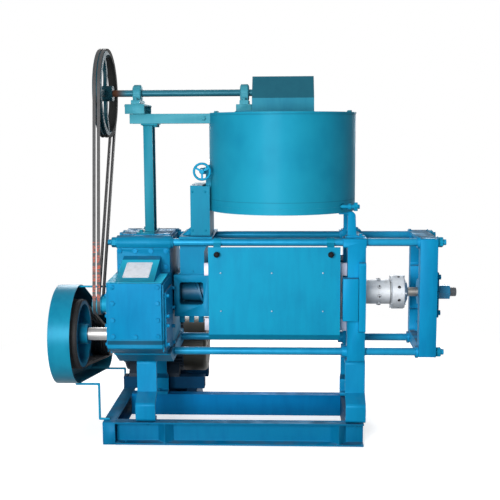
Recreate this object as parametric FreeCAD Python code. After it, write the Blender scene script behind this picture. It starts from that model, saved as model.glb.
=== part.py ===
import FreeCAD, Part
import math
import os

# Screw oil press with a cooking kettle on top, in millimetres.
# +Z is up, +X runs from the gear case to the thrust yoke, and the operator stands at -Y.
# The origin is on the floor, in the middle of the four foundation holes.

# Clearances
gap = 0.3
running = 0.05

# Press line: worm axis and the four tie rods round it
press_z = 758.0
rod_d = 40.0
rod_y = 165.0
rod_rise = 285.0
nut_length = 34.0
rod_nut_flats = 60.0

# Base frame of rolled channel
base_half_length = 673.0
base_half_width = 280.0
channel_height = 120.0
channel_flange = 58.0
channel_web = 7.0
channel_lip = 9.0
channel_root = 4.0
side_flange = 65.0
rail_rear = 665.0
end_plate = 8.0
gear_leg_inset = 172.0
head_leg_inset = 93.0
gear_leg_x = gear_leg_inset - base_half_length
head_leg_x = base_half_length - head_leg_inset
inner_rail_x = gear_leg_x + 260.0
cross_member_x = head_leg_x + 2.0
foundation_x = base_half_length - 113.0
foundation_y = base_half_width - 28.0
foundation_hole = 18.0
stiffener_x = (gear_leg_x + 151.0, head_leg_x - 35.0)
stiffener_half = 40.0
stiffener_wall = 7.0

# Bent legs
leg_width = 102.0
leg_thickness = 18.0
leg_bend = 5.0
leg_top = 432.0
leg_upper_y = rod_y + 35.0
leg_lower_y = base_half_width - 6.0
leg_upper_bend = 262.0
leg_lower_bend = 216.0
leg_flange = 58.0
foot_bolt_d = 12.0
foot_bolt_head = 19.0
foot_bolt_inset = 32.0

# Gear case
case_x0 = gear_leg_x - 87.0
case_x1 = case_x0 + 271.0
case_half_depth = rod_y + 35.0
case_bottom = 480.0
case_top = 1064.0
boss_r = 36.0
bulge_r = 291.0
sump_x0 = case_x0 + 3.0
sump_x1 = case_x1 + 12.0
sump_half_depth = case_half_depth + 28.0
front_x0 = case_x0 - 2.0
front_x1 = case_x1 - 5.0
front_face = 497.0
front_box_top = 888.0
front_box_bottom = 562.0
wedge_x0 = case_x0 + 37.0
wedge_x1 = case_x1 - 45.0
ledge_depth = 250.0
ledge_z = 967.0
flange_top = 1021.0
front_flange = 14.0
cover_plate = 8.0
side_plate = 9.0
side_y0 = -462.0
side_y1 = -216.0
side_top = 836.0
top_cover = 16.0
top_cover_half = 124.0

# Gear train: two spur stages inside the gear case
gear_backlash = 0.93
pressure_angle = math.radians(25.0)
final_module = 10.0
bull_teeth = 51
pinion_teeth = 13
first_module = 8.0
lay_gear_teeth = 41
lay_drop = 9.0
input_drop = 180.0
bull_face = 80.0
bull_x0 = case_x0 + 136.0
first_face = 46.0
first_x0 = case_x0 + 58.0
gear_side_room = 8.0
gear_tip_room = 6.5
gear_hub_r = 75.0
lay_shaft_r = 30.0
lay_end_r = 22.0
input_r = 32.5
lay_bearing_r = 52.0
input_bearing_r = 56.0
worm_bearing_r = 72.0
bearing_width = 26.0

# Press head
head_x0 = head_leg_x + 8.0
head_x1 = head_x0 + 91.0
head_half_depth = rod_y + 45.0
head_inner_y = rod_y - 43.0
head_bottom = leg_top
head_top = 1068.0
head_web_x0 = head_x0 + 14.0
head_web_x1 = head_x1 - 14.0
head_bore_r = 80.0
hood_x0 = head_x0 - 23.0
hood_x1 = head_x1 + 3.0
rib_x0 = head_x0 + 55.0
rib_y = head_half_depth + 30.0
rib_z0 = 588.0
rib_z1 = 947.0
block_x0 = head_x0 - 25.0
block_x1 = head_x0 + 52.0
block_y = head_half_depth + 40.0
block_half = 110.0

# Thrust yoke
yoke_x0 = head_x1 + 274.0
yoke_x1 = yoke_x0 + 88.0
yoke_half_depth = rod_y + 45.0
yoke_inner_y = rod_y - 15.0
yoke_bottom = 453.0
yoke_top = 1066.0
yoke_beam = 62.0
yoke_web_half = 118.0
thrust_plate = 24.0
thrust_half = 118.0
thrust_nut_flats = 70.0
thrust_nut_end = yoke_x1 + 97.0

# Choke
cone_r = 65.0
cone_x0 = head_x0 + 18.0
cone_x1 = head_x0 + 258.0
ring_x0 = head_x0 + 240.0
ring_x1 = ring_x0 + 70.0
ring_r = 90.0
collar_r = 44.0
collar_x0 = ring_x0 + 40.0
collar_x1 = collar_x0 + 16.0
sleeve_r = 52.0
choke_travel = 8.0

# Feed housing, hopper and chute
feed_x0 = case_x1 + 11.0
feed_z0 = 652.0
feed_z1 = 870.0
feed_half_depth = rod_y - 15.0
window_x0 = feed_x0 + 28.0
window_x1 = window_x0 + 124.0
window_z0 = 713.0
window_z1 = 832.0
hopper_x0 = feed_x0 + 31.0
hopper_x1 = hopper_x0 + 126.0
hopper_half_depth = rod_y - 35.0
hopper_flare_z = 990.0
sheet = 5.0
table_x0 = feed_x0 + 34.0
table_x1 = table_x0 + 170.0
table_half_depth = rod_y + 23.0
table_plate = 10.0
chute_x0 = feed_x0 + 89.0
chute_top = 1328.0
lid_x1 = chute_x0 + 62.0
lid_plate = 3.0

# Barrel cage
cage_bore = 152.0
cage_x0 = feed_x0 + 178.0
cage_x1 = head_x0 - 23.0
bar_depth = 18.0
bar_count = 22
bar_slit = 1.0
cage_rib_width = 24.0
cage_rib_count = 8
rib_rise = 132.0
clamp_bar_height = 64.0
clamp_bar_depth = 30.0
clamp_bar_y = rod_y - 30.0
clamp_bar_rise = 112.0
clamp_x0 = cage_x0 - 19.0
clamp_x1 = head_x0 - 1.0

# Worm shaft
shaft_r = 37.5
shaft_gear_r = 40.0
thrust_end_r = 24.0
shaft_left = case_x0 + 8.0
shaft_step_x = head_x0 + 52.0
shaft_right = yoke_x1 + 132.0
worm_tip_r = 74.0
worm_root_r = 50.0
worm_turns = 8
worm_pitch_ratio = 0.9
flight_width = 16.0
worm_root_step = 2.2

# Kettle
kettle_left = cage_x0 + 3.0
kettle_r = 380.0
kettle_x = kettle_left + kettle_r
kettle_wall = 8.0
kettle_z0 = 1200.0
kettle_z1 = 1700.0
pan_top = 1258.0
outlet_half = 52.0
outlet_z1 = 1330.0
post_x0 = head_x0
post_x1 = post_x0 + 43.0
post_y0 = rod_y - 43.0
post_y1 = rod_y + 15.0

# Bridge, hood and stirrer drive over the kettle
bridge_half = 60.0
bridge_height = 50.0
deck_x0 = kettle_x - 239.0
deck_x1 = kettle_x + 163.0
deck_half = 154.0
deck_plate = 6.0
hood_left = kettle_x - 152.0
hood_right = kettle_x + 161.0
hood_half = 150.0
hood_eave = 1772.0
hood_ridge = 1884.0
hood_ridge_half = 50.0
hood_sheet = 2.5
drive_z = 1804.0
drive_r = 17.5
bevel_teeth = 36
bevel_pinion_teeth = 12
bevel_module = 6.6
bevel_face = 34.0
pinion_thinning = 0.07
crown_thinning = 0.05
stirrer_r = 22.0
stirrer_arm = kettle_r - 25.0

# Drive beam and post on the left of the kettle
beam_left = case_x0 + 61.0
beam_y0 = -100.0
beam_y1 = 0.0
beam_z0 = 1647.0
beam_z1 = 1697.0
beam_bolt_x = kettle_left - 21.0
post_left = case_x0 + 130.0
post_width = 47.0
foot_plate = 10.0
post_foot_front = 124.0
post_foot_rear = 90.0
seat_x0 = case_x0 + 41.0
seat_x1 = seat_x0 + 100.0
seat_half = 120.0
seat_top = 1746.0
block_width = 46.0
block_left_x = seat_x0 + 49.0
block_right_x = kettle_x - 195.0
pedestal_x0 = block_right_x - 40.0
pedestal_x1 = block_right_x + 40.0
pedestal_half = 100.0
housing_r = 44.0
block_foot = 22.0
block_half_length = 84.0

# Kettle belt drive
belt_top = 16.5
belt_bottom = 10.5
belt_depth = 11.0
belt_proud = 2.5
groove_depth = 14.0
belt_pitch = 22.0
top_pulley_r = 227.5
small_pulley_r = 50.0
kettle_pulley_x = case_x0 - 79.0
kettle_pulley_width = 44.0
pulley_arms = 4
pulley_arm_width = 18.0
pulley_arm_depth = 28.0
pulley_arm_bow = 26.0
drive_left = kettle_pulley_x - 23.0

# Motor drive
input_pulley_r = 177.5
motor_pulley_r = 75.0
motor_belt_count = 5
motor_belt_pitch = 19.0
motor_pulley_x = case_x0 - 237.5
motor_pulley_width = 109.0
motor_y = 500.0
motor_z = 350.0
motor_frame = 160.0
motor_x0 = case_x0 - 52.0
motor_x1 = motor_x0 + 310.0
motor_core_r = 138.0
motor_fin_r = 158.0
motor_fins = 40
motor_sheet = 2.5
motor_shield_left = motor_x0 - 95.0
motor_cover_right = motor_x1 + 141.0
motor_shaft_r = 21.0
motor_foot_y = 127.0
cross_bar_x0 = -base_half_length
cross_bar_x1 = inner_rail_x + 41.0
cross_bar_half = 32.0
cross_bar_wall = 6.0

# Belt guard
guard_x0 = motor_pulley_x - 72.5
guard_x1 = motor_pulley_x + 36.5
guard_r = 255.0
guard_small_r = 150.0
guard_sheet = 3.0
bracket_d = 12.0

# Outlet gate and handwheel
gate_x0 = kettle_left - 4.5
gate_plate = 4.0
gate_half = 70.0
gate_z0 = 1210.0
gate_z1 = 1345.0
rack_z0 = 1290.0
rack_z1 = 1462.0
rack_half = 8.0
rack_module = 2.0
rack_teeth = 15
wheel_x = kettle_left - 25.0
wheel_z = 1405.0
wheel_y = -185.0
wheel_r = 45.0
wheel_rim = 5.0
wheel_shaft_r = 8.0
guide_z0 = kettle_z0 + gap
guide_z1 = 1435.0
guide_x0 = kettle_left - 14.0
bracket_y = -118.0
bracket_plate = 14.0

# Guard panel hung on the front top rod
panel_x0 = cage_x0 + 7.0
panel_x1 = cage_x1 - 15.0
panel_y = -rod_y - 52.0
panel_sheet = 3.0
panel_z0 = 571.0
panel_z1 = 1024.0
panel_lip = 30.0
hook_x = (panel_x0 + 45.0, panel_x1 - 49.0)
hook_width = 38.0
hook_sheet = 4.0
knob_r = 15.0
knob_z = 988.0

# Steam inlet
steam_x = kettle_x + 357.0
steam_y = -230.0
steam_z = 1230.0
steam_bore = 22.0

# Derived places
rod_left = case_x0 - 52.0
rod_right = yoke_x1 + 45.0
chute_x1 = kettle_left + 8.0
worm_length = cage_x1 + 5.0 - (feed_x0 + 22.0)
worm_first_pitch = worm_length * (1 - worm_pitch_ratio) / (1 - worm_pitch_ratio ** worm_turns)
rod_r = rod_d / 2
rod_top_z = press_z + rod_rise
rod_low_z = press_z - rod_rise
rod_places = [(y, z) for y in (-rod_y, rod_y) for z in (rod_top_z, rod_low_z)]
final_distance = final_module * (bull_teeth + pinion_teeth) / 2
first_distance = first_module * (lay_gear_teeth + pinion_teeth) / 2
lay_z = press_z - lay_drop
lay_y = -math.sqrt(final_distance ** 2 - lay_drop ** 2)
input_z = lay_z - input_drop
input_y = lay_y + math.sqrt(first_distance ** 2 - input_drop ** 2)
tip_factor = 0.9
root_factor = 1.2
web_y = base_half_width - channel_flange
belt_lean = (belt_top - belt_bottom) / 2 / belt_depth
groove_top = belt_top - 2 * belt_lean * belt_proud + 2 * gap
groove_bottom = groove_top - 2 * belt_lean * groove_depth
clamp_z_low = press_z - clamp_bar_rise - clamp_bar_height
clamp_z_high = press_z + clamp_bar_rise
bevel_z = drive_z - bevel_module * bevel_pinion_teeth / 2


def vec(x, y, z):
    return FreeCAD.Vector(x, y, z)


def block(x0, x1, y0, y1, z0, z1):
    """A box between two corners."""
    return Part.makeBox(x1 - x0, y1 - y0, z1 - z0, vec(x0, y0, z0))


def bar_x(x0, x1, y, z, r):
    return Part.makeCylinder(r, x1 - x0, vec(x0, y, z), vec(1, 0, 0))


def bar_y(y0, y1, x, z, r):
    return Part.makeCylinder(r, y1 - y0, vec(x, y0, z), vec(0, 1, 0))


def bar_z(z0, z1, x, y, r):
    return Part.makeCylinder(r, z1 - z0, vec(x, y, z0), vec(0, 0, 1))


def tube_x(x0, x1, y, z, outer, inner):
    return bar_x(x0, x1, y, z, outer).cut(bar_x(x0 - 1, x1 + 1, y, z, inner))


def tube_z(z0, z1, x, y, outer, inner):
    return bar_z(z0, z1, x, y, outer).cut(bar_z(z0 - 1, z1 + 1, x, y, inner))


def outline(points, place):
    """A closed face through (a, b) or (a, b, radius) points, each corner rounded by its radius."""
    count = len(points)
    starts = []
    ends = []
    middles = []
    for i, point in enumerate(points):
        here = vec(point[0], point[1], 0)
        radius = point[2] if len(point) > 2 else 0
        if radius <= 0:
            starts.append(here)
            ends.append(here)
            middles.append(None)
            continue
        before = vec(points[i - 1][0], points[i - 1][1], 0) - here
        after = vec(points[(i + 1) % count][0], points[(i + 1) % count][1], 0) - here
        before.normalize()
        after.normalize()
        half = before.getAngle(after) / 2
        reach = radius / math.tan(half)
        middle = before + after
        middle.normalize()
        starts.append(here + before * reach)
        ends.append(here + after * reach)
        middles.append(here + middle * (radius / math.sin(half) - radius))
    edges = []
    for i in range(count):
        if middles[i] is not None:
            arc = Part.Arc(place(starts[i]), place(middles[i]), place(ends[i]))
            edges.append(arc.toShape())
        a = place(ends[i])
        b = place(starts[(i + 1) % count])
        if a.distanceToPoint(b) > 1e-6:
            edges.append(Part.makeLine(a, b))
    return Part.Face(Part.Wire(edges))


def plate_x(points, x0, x1):
    """A profile of (y, z) points, pulled along X."""
    face = outline(points, lambda p: vec(x0, p.x, p.y))
    return face.extrude(vec(x1 - x0, 0, 0))


def plate_y(points, y0, y1):
    """A profile of (x, z) points, pulled along Y."""
    face = outline(points, lambda p: vec(p.x, y0, p.y))
    return face.extrude(vec(0, y1 - y0, 0))


def plate_z(points, z0, z1):
    """A profile of (x, y) points, pulled along Z."""
    face = outline(points, lambda p: vec(p.x, p.y, z0))
    return face.extrude(vec(0, 0, z1 - z0))


def turned_x(points, y, z, start=0.0, angle=360.0):
    """A profile of (x, radius) points turned about an axis along X, from an angle above +Y."""
    turn = math.radians(start)
    face = outline(points, lambda p: vec(p.x, y + p.y * math.cos(turn), z + p.y * math.sin(turn)))
    return face.revolve(vec(0, y, z), vec(1, 0, 0), angle)


def turned_z(points, x, y):
    """A profile of (radius, z) points turned about an axis along Z."""
    face = outline(points, lambda p: vec(x + p.x, y, p.y))
    return face.revolve(vec(x, y, 0), vec(0, 0, 1), 360)


def turned_y(points, x, z):
    """A profile of (y, radius) points turned about an axis along Y."""
    face = outline(points, lambda p: vec(x + p.y, p.x, z))
    return face.revolve(vec(x, 0, z), vec(0, 1, 0), 360)


def hexagon(flats, a, b):
    """Corner points of a hexagon about (a, b), with two of its flats square to the second axis."""
    r = flats / math.sqrt(3)
    return [(a + r * math.cos(k * math.pi / 3), b + r * math.sin(k * math.pi / 3)) for k in range(6)]


def nut_x(x0, x1, y, z, flats):
    return plate_x(hexagon(flats, y, z), x0, x1)


def nut_z(z0, z1, x, y, flats):
    return plate_z(hexagon(flats, x, y), z0, z1)


def nut_y(y0, y1, x, z, flats):
    return plate_y(hexagon(flats, x, z), y0, y1)


def union(shapes):
    return shapes[0].fuse(shapes[1:]).removeSplitter() if len(shapes) > 1 else shapes[0]


def group(shapes):
    return Part.makeCompound(shapes)


def mirrored(shape):
    """The same piece on the other side of the press line."""
    return shape.mirror(vec(0, 0, 0), vec(0, 1, 0))


def strip_outline(path, thickness, bend):
    """A bent flat bar: the path is one face, and the bar lies to the left of its direction."""
    def left(a, b):
        run = vec(b[0] - a[0], b[1] - a[1], 0)
        run.normalize()
        return vec(-run.y, run.x, 0)

    near = []
    far = []
    for i, p in enumerate(path):
        normals = []
        if i > 0:
            normals.append(left(path[i - 1], p))
        if i < len(path) - 1:
            normals.append(left(p, path[i + 1]))
        shift = normals[0]
        turn = 0.0
        if len(normals) == 2:
            shift = (normals[0] + normals[1]) * (1 / (1 + normals[0].dot(normals[1])))
            turn = normals[0].cross(normals[1]).z
        inner = bend if len(normals) == 2 else 0
        outer = bend + thickness if len(normals) == 2 else 0
        near.append((p[0], p[1], inner if turn < 0 else outer))
        far.append((p[0] + shift.x * thickness, p[1] + shift.y * thickness, outer if turn < 0 else inner))
    return near + far[::-1]


def channel_outline(web, side, bottom, width):
    """Section of a rolled channel: outer face of its web, side of its flanges, and its bottom."""
    tip = web + side * width
    inner = web + side * channel_web
    top = bottom + channel_height
    return [(web, bottom), (tip, bottom), (tip, bottom + channel_lip), (inner, bottom + channel_lip, channel_root),
            (inner, top - channel_lip, channel_root), (tip, top - channel_lip), (tip, top), (web, top)]


def gear_outline(module, teeth, phase):
    """Tooth outline of a spur gear as (u, v) points about its centre; one tooth points at the phase."""
    pitch_r = module * teeth / 2
    base_r = pitch_r * math.cos(pressure_angle)
    tip_r = pitch_r + tip_factor * module
    root_r = pitch_r - root_factor * module
    half_pitch = math.pi / (2 * teeth) * gear_backlash

    def spread(r):
        lean = math.acos(min(1.0, base_r / r))
        start = math.tan(pressure_angle) - pressure_angle
        return half_pitch + start - (math.tan(lean) - lean)

    low_r = max(base_r, root_r)
    radii = [root_r, low_r, pitch_r, tip_r] if low_r > root_r + 0.2 else [root_r, pitch_r, tip_r]
    points = []
    for k in range(teeth):
        middle = phase + 2 * math.pi * k / teeth
        sides = [(r, spread(max(r, low_r))) for r in radii]
        for r, half in sides:
            points.append((r * math.cos(middle - half), r * math.sin(middle - half)))
        for r, half in sides[::-1]:
            points.append((r * math.cos(middle + half), r * math.sin(middle + half)))
    return points


def spur_gear(module, teeth, phase, x0, x1, y, z):
    points = [(y + u, z + v) for u, v in gear_outline(module, teeth, phase)]
    return plate_x(points, x0, x1)


def case_cavities():
    """The two gear rooms and the bearing seats, cut alike from the gear case and its front half."""
    lay_room = first_module * (lay_gear_teeth / 2 + tip_factor) + gear_tip_room
    input_room = first_module * (pinion_teeth / 2 + tip_factor) + gear_tip_room
    bull_room = final_module * (bull_teeth / 2 + tip_factor) + gear_tip_room
    pinion_room = final_module * (pinion_teeth / 2 + tip_factor) + gear_tip_room
    first0 = first_x0 - gear_side_room
    first1 = first_x0 + first_face + gear_side_room
    bull0 = bull_x0 - gear_side_room
    bull1 = bull_x0 + bull_face + gear_side_room
    return [
        bar_x(first0, first1, lay_y, lay_z, lay_room),
        bar_x(first0, first1, input_y, input_z, input_room),
        bar_x(bull0, bull1, 0, press_z, bull_room),
        bar_x(case_x0 + bearing_width + 4, first1, 0, press_z, bull_room),
        bar_x(bull0, bull1, lay_y, lay_z, pinion_room),
        bar_x(front_x0 - 20, front_x1 + 20, lay_y, lay_z, lay_bearing_r),
        bar_x(front_x0 - 20, bull0 + 1, input_y, input_z, input_bearing_r),
        bar_x(case_x0 - 20, case_x1 + 20, 0, press_z, worm_bearing_r),
    ]


def base_channel():
    """Front channel of the base, flanges to the front, with its two corner stiffeners."""
    x0 = side_flange - base_half_length
    body = plate_x(channel_outline(-web_y, -1, 0, channel_flange), x0, base_half_length)
    holes = [bar_z(-1, channel_lip + 1, x, -foundation_y, foundation_hole / 2) for x in (-foundation_x, foundation_x)]
    foot_y = foot_bolt_inset - leg_lower_y
    low = channel_height - channel_lip - 1
    holes += [bar_z(low, channel_height + 1, x + leg_width / 2, foot_y, foot_bolt_d / 2 + gap)
              for x in (gear_leg_x, head_leg_x)]
    body = body.cut(holes)
    inner = -web_y - channel_web
    for x in stiffener_x:
        angle = plate_z([(x - stiffener_half, inner), (x, 1 - base_half_width, 2), (x + stiffener_half, inner),
                         (x + stiffener_half - stiffener_wall, inner), (x, stiffener_wall + 3 - base_half_width),
                         (x - stiffener_half + stiffener_wall, inner)],
                        channel_lip, channel_height - channel_lip)
        body = body.fuse(angle)
    return body.removeSplitter()


def base_left_rail():
    """Channel along the left end, out to the motor, closed at the front by a plate."""
    left = -base_half_length
    front = end_plate - base_half_width
    points = channel_outline(left, 1, 0, side_flange)
    rail = plate_y(points, front, rail_rear)
    plate = block(left, left + side_flange, -base_half_width, front, 0, channel_height)
    return union([rail, plate])


def base_cross_members():
    """Inner motor rail, rear tie between the rails, and the cross member under the press head."""
    inner = plate_y(channel_outline(inner_rail_x, -1, 0, channel_flange), base_half_width, rail_rear)
    tie_x0 = side_flange - base_half_length
    tie = plate_x(channel_outline(rail_rear, -1, 0, channel_flange), tie_x0, inner_rail_x - channel_flange)
    cross = plate_y(channel_outline(cross_member_x, 1, 0, channel_flange), -web_y, web_y)
    return group([inner, tie, cross])


def motor_cross_bars():
    """Two hollow bars across the rails that carry the motor feet."""
    top = motor_z - motor_frame
    bars = []
    for y in (motor_y - motor_foot_y, motor_y + motor_foot_y):
        outer = block(cross_bar_x0, cross_bar_x1, y - cross_bar_half, y + cross_bar_half, channel_height, top)
        inner = block(cross_bar_x0 - 1, cross_bar_x1 + 1, y - cross_bar_half + cross_bar_wall,
                      y + cross_bar_half - cross_bar_wall, channel_height + cross_bar_wall, top - cross_bar_wall)
        bars.append(outer.cut(inner))
    return group(bars)


def leg(x0):
    """One bent leg on the front side, with flanges at its top and foot."""
    path = [(leg_flange - leg_lower_y, channel_height), (-leg_lower_y, channel_height),
            (-leg_lower_y, leg_lower_bend), (-leg_upper_y, leg_upper_bend),
            (-leg_upper_y, leg_top), (leg_flange - leg_upper_y, leg_top)]
    points = strip_outline(path[::-1], leg_thickness, leg_bend)
    body = plate_x(points, x0, x0 + leg_width)
    hole = bar_z(channel_height - 1, channel_height + leg_thickness + 1, x0 + leg_width / 2,
                 foot_bolt_inset - leg_lower_y, foot_bolt_d / 2 + gap)
    return body.cut(hole)


def leg_pair(x0):
    front = leg(x0)
    return group([front, mirrored(front)])


def sump():
    """Lower part of the gear case, tapered towards the legs, with a forward shelf for the front half."""
    points = [(-sump_half_depth, leg_top, 6), (sump_half_depth, leg_top, 6), (sump_half_depth + 12, 500),
              (-340, 500), (-338, 494, 4)]
    return plate_x(points, sump_x0, sump_x1)


def front_side():
    """Everything in front of the plane where the gear case splits."""
    return block(case_x0 - 50, case_x1 + 50, -case_half_depth - 400, -case_half_depth, leg_top - 50, case_top + 100)


def gearbox_housing():
    """Main gear case casting: square body, rod bosses along its edges and the round bulge of the bull gear."""
    body = plate_x([(-case_half_depth, case_bottom), (case_half_depth, case_bottom),
                    (case_half_depth, case_top, 12), (-case_half_depth, case_top, 12)], case_x0, case_x1)
    bulge = bar_x(case_x0, case_x1, 0, press_z, bulge_r).cut(front_side())
    bosses = [bar_x(case_x0 - 4, case_x1 + 4, y, z, boss_r) for y, z in rod_places]
    ends = [bar_x(case_x1 + 3, case_x1 + 14, y, z, boss_r - 6) for y, z in rod_places]
    body = union([body, bulge, sump()] + bosses + ends)
    rods = [bar_x(case_x0 - 60, case_x1 + 60, y, z, rod_r + gap) for y, z in rod_places]
    return body.cut(case_cavities() + rods)


def gearbox_front_case():
    """Front half of the gear case: bolting flange, lower box and the sloped nose over the first gear."""
    back = -case_half_depth
    flange = plate_y([(case_x0, 500), (case_x1, 500), (case_x1, flange_top, 14), (case_x0, flange_top, 14)],
                     back - front_flange, back)
    lower = plate_x([(back, 500), (-340, 500), (-front_face, front_box_bottom, 10),
                     (-front_face, front_box_top, 8), (back, front_box_top + 8)], front_x0, front_x1)
    nose = plate_x([(back, front_box_top - 20), (8 - front_face, front_box_top - 20),
                    (8 - front_face, front_box_top - 2),
                    (-ledge_depth, ledge_z, 6), (back, ledge_z + 17)], wedge_x0, wedge_x1)
    lips = [block(x0, x1, 10 - front_face, -215, 545, front_box_top - 12)
            for x0, x1 in ((front_x1, front_x1 + 7), (front_x0 - 1, front_x0))]
    body = union([flange, lower, nose] + lips)
    rods = [bar_x(case_x0 - 60, case_x1 + 60, y, z, rod_r + gap) for y, z in rod_places if y < 0]
    behind = block(front_x0 - 60, front_x1 + 60, back, 50, 400, 1200)
    return body.cut(case_cavities() + rods + [behind])


def gearbox_covers():
    """Front inspection cover, top cover, the two side plates round the shafts and the worm end cap."""
    y = -front_face
    front = plate_y([(case_x0 + 10, 611, 6), (case_x1 - 7, 611, 6), (case_x1 - 7, front_box_top - 2, 6),
                     (case_x0 + 10, front_box_top - 2, 6)], y - cover_plate, y)
    half = top_cover_half
    top = plate_z([(case_x0 + 8, -half, 6), (case_x1 - 8, -half, 6), (case_x1 - 8, half, 6), (case_x0 + 8, half, 6)],
                  case_top, case_top + top_cover)
    bores = [bar_x(case_x0 - 100, bull_x0, lay_y, lay_z, lay_end_r + 2),
             bar_x(case_x0 - 100, bull_x0, input_y, input_z, input_r + 1)]
    outlet = [(side_y0, 560, 10), (side_y1, 512, 10), (side_y1, side_top, 10), (side_y0, side_top, 10)]
    left = plate_x(outlet, front_x0 - 1 - side_plate, front_x0 - 1).cut(bores)
    right = plate_x(outlet, front_x1 + 7, front_x1 + 7 + side_plate)
    cap = turned_x([(case_x0 - 16, 0), (case_x0 - 16, 78, 5), (case_x0 - 8, 92, 3), (case_x0, 92), (case_x0, 0)],
                   0, press_z)
    return group([front, top, left, right, cap])


def gear_bearings():
    """Bearing rings of the three gear shafts, seated in the walls of the gear case."""
    bull0 = bull_x0 - gear_side_room
    first0 = first_x0 - gear_side_room
    rings = [tube_x(first0 - bearing_width - 2, first0 - 2, lay_y, lay_z, lay_bearing_r, lay_shaft_r + running),
             tube_x(front_x1 - bearing_width, front_x1, lay_y, lay_z, lay_bearing_r, lay_shaft_r + running),
             tube_x(first0 - bearing_width - 2, first0 - 2, input_y, input_z, input_bearing_r, input_r + running),
             tube_x(bull0 - 15, bull0 - 1, input_y, input_z, input_bearing_r, input_r + running),
             tube_x(case_x0, case_x0 + bearing_width, 0, press_z, worm_bearing_r, shaft_gear_r + running),
             tube_x(case_x1 - bearing_width, case_x1, 0, press_z, worm_bearing_r, shaft_gear_r + running)]
    return group(rings)


def gear_case_bolts():
    """Hexagon heads of the gear case: cover, flange row, and side plates."""
    y = -front_face - cover_plate
    places = [(x, z) for x in (case_x0 + 28, case_x1 - 25) for z in (868, 789, 706, 627)] + [(case_x0 + 138, 624)]
    heads = [nut_y(y - 8, y, x, z, 19) for x, z in places]
    y = -case_half_depth - front_flange
    row = flange_top - 16
    places = [(15, row), (95, row), (176, row), (254, row), (252, row - 82), (16, row - 82)]
    heads += [nut_y(y - 9, y, case_x0 + x, z, 22) for x, z in places]
    sides = [(-448, 817), (-448, 716), (-448, 668), (-448, 575), (-232, 817), (-232, 716), (-232, 620), (-232, 535)]
    left = front_x0 - 1 - side_plate
    right = front_x1 + 7 + side_plate
    for side_y, side_z in sides:
        heads.append(nut_x(left - 8, left, side_y, side_z, 17))
        heads.append(nut_x(right, right + 14, side_y, side_z, 17))
    return heads


def frame_bolts():
    """Foot bolts with their nuts, the gear case bolts and the cage bolts."""
    bolts = gear_case_bolts()
    for x0 in (gear_leg_x, head_leg_x):
        for side in (-1, 1):
            x = x0 + leg_width / 2
            y = side * (leg_lower_y - foot_bolt_inset)
            top = channel_height + leg_thickness
            low = channel_height - channel_lip
            bolts.append(union([nut_z(top, top + 8, x, y, foot_bolt_head),
                                bar_z(low - 17, top + 1, x, y, foot_bolt_d / 2),
                                nut_z(low - 11, low, x, y, foot_bolt_head)]))
    return group(bolts)


def tie_rods():
    rods = []
    for y, z in rod_places:
        points = [(rod_left, 0), (rod_left, rod_r - 2), (rod_left + 2, rod_r), (rod_right - 2, rod_r),
                  (rod_right, rod_r - 2), (rod_right, 0)]
        rods.append(turned_x(points, y, z))
    return group(rods)


def tie_rod_nuts():
    """A nut on each end of each rod, against the gear case and against the yoke."""
    nuts = []
    for y, z in rod_places:
        for x0 in (case_x0 - 4 - nut_length, yoke_x1):
            nut = nut_x(x0, x0 + nut_length, y, z, rod_nut_flats)
            nuts.append(nut.cut(bar_x(x0 - 1, x0 + nut_length + 1, y, z, rod_r + running)))
    return group(nuts)


def press_head():
    """Cast frame that carries the discharge end of the cage, with hoods over the upper rods."""
    def upright():
        column = plate_x([(-head_half_depth, head_bottom), (-head_inner_y, head_bottom),
                          (-head_inner_y, head_top), (-head_half_depth, head_top, 14)], head_x0, head_x1)
        hood = plate_x([(-head_half_depth, rod_top_z - 24, 8), (-head_inner_y, rod_top_z - 24),
                        (-head_inner_y, head_top), (-head_half_depth, head_top, 14)], hood_x0, hood_x1)
        collar = bar_x(hood_x0 - 2, head_x0 + 1, -rod_y, rod_low_z, rod_r + 11)
        rib = plate_x([(-rib_y, rib_z0, 12), (-head_half_depth + 1, rib_z0), (-head_half_depth + 1, rib_z1),
                       (-rib_y, rib_z1, 16)], rib_x0, head_x1)
        cheek = plate_x([(-block_y, press_z - block_half, 5), (-head_half_depth + 1, press_z - block_half),
                         (-head_half_depth + 1, press_z + block_half), (-block_y, press_z + block_half, 5)],
                        block_x0, block_x1)
        shelf = block(block_x0, head_x0 + 1, -block_y + 30, -clamp_bar_y - clamp_bar_depth - gap,
                      press_z - block_half + 2, press_z + block_half - 2)
        return union([column, hood, collar, rib, cheek, shelf])

    front = upright()
    rear = mirrored(front)
    y = head_inner_y + 1
    web = plate_x([(-y, press_z - 130), (y, press_z - 130), (y, press_z + 130), (-y, press_z + 130)],
                  head_web_x0, head_web_x1)
    beams = [block(head_web_x0, head_web_x1, -y, y, head_bottom, head_bottom + 62),
             block(head_web_x0, head_web_x1, -y, y, head_top - 62, head_top)]
    body = union([front, rear, web] + beams)
    holes = [bar_x(hood_x0 - 20, hood_x1 + 20, py, pz, rod_r + gap) for py, pz in rod_places]
    return body.cut(holes + [bar_x(head_x0 - 60, head_x1 + 60, 0, press_z, head_bore_r)])


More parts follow.
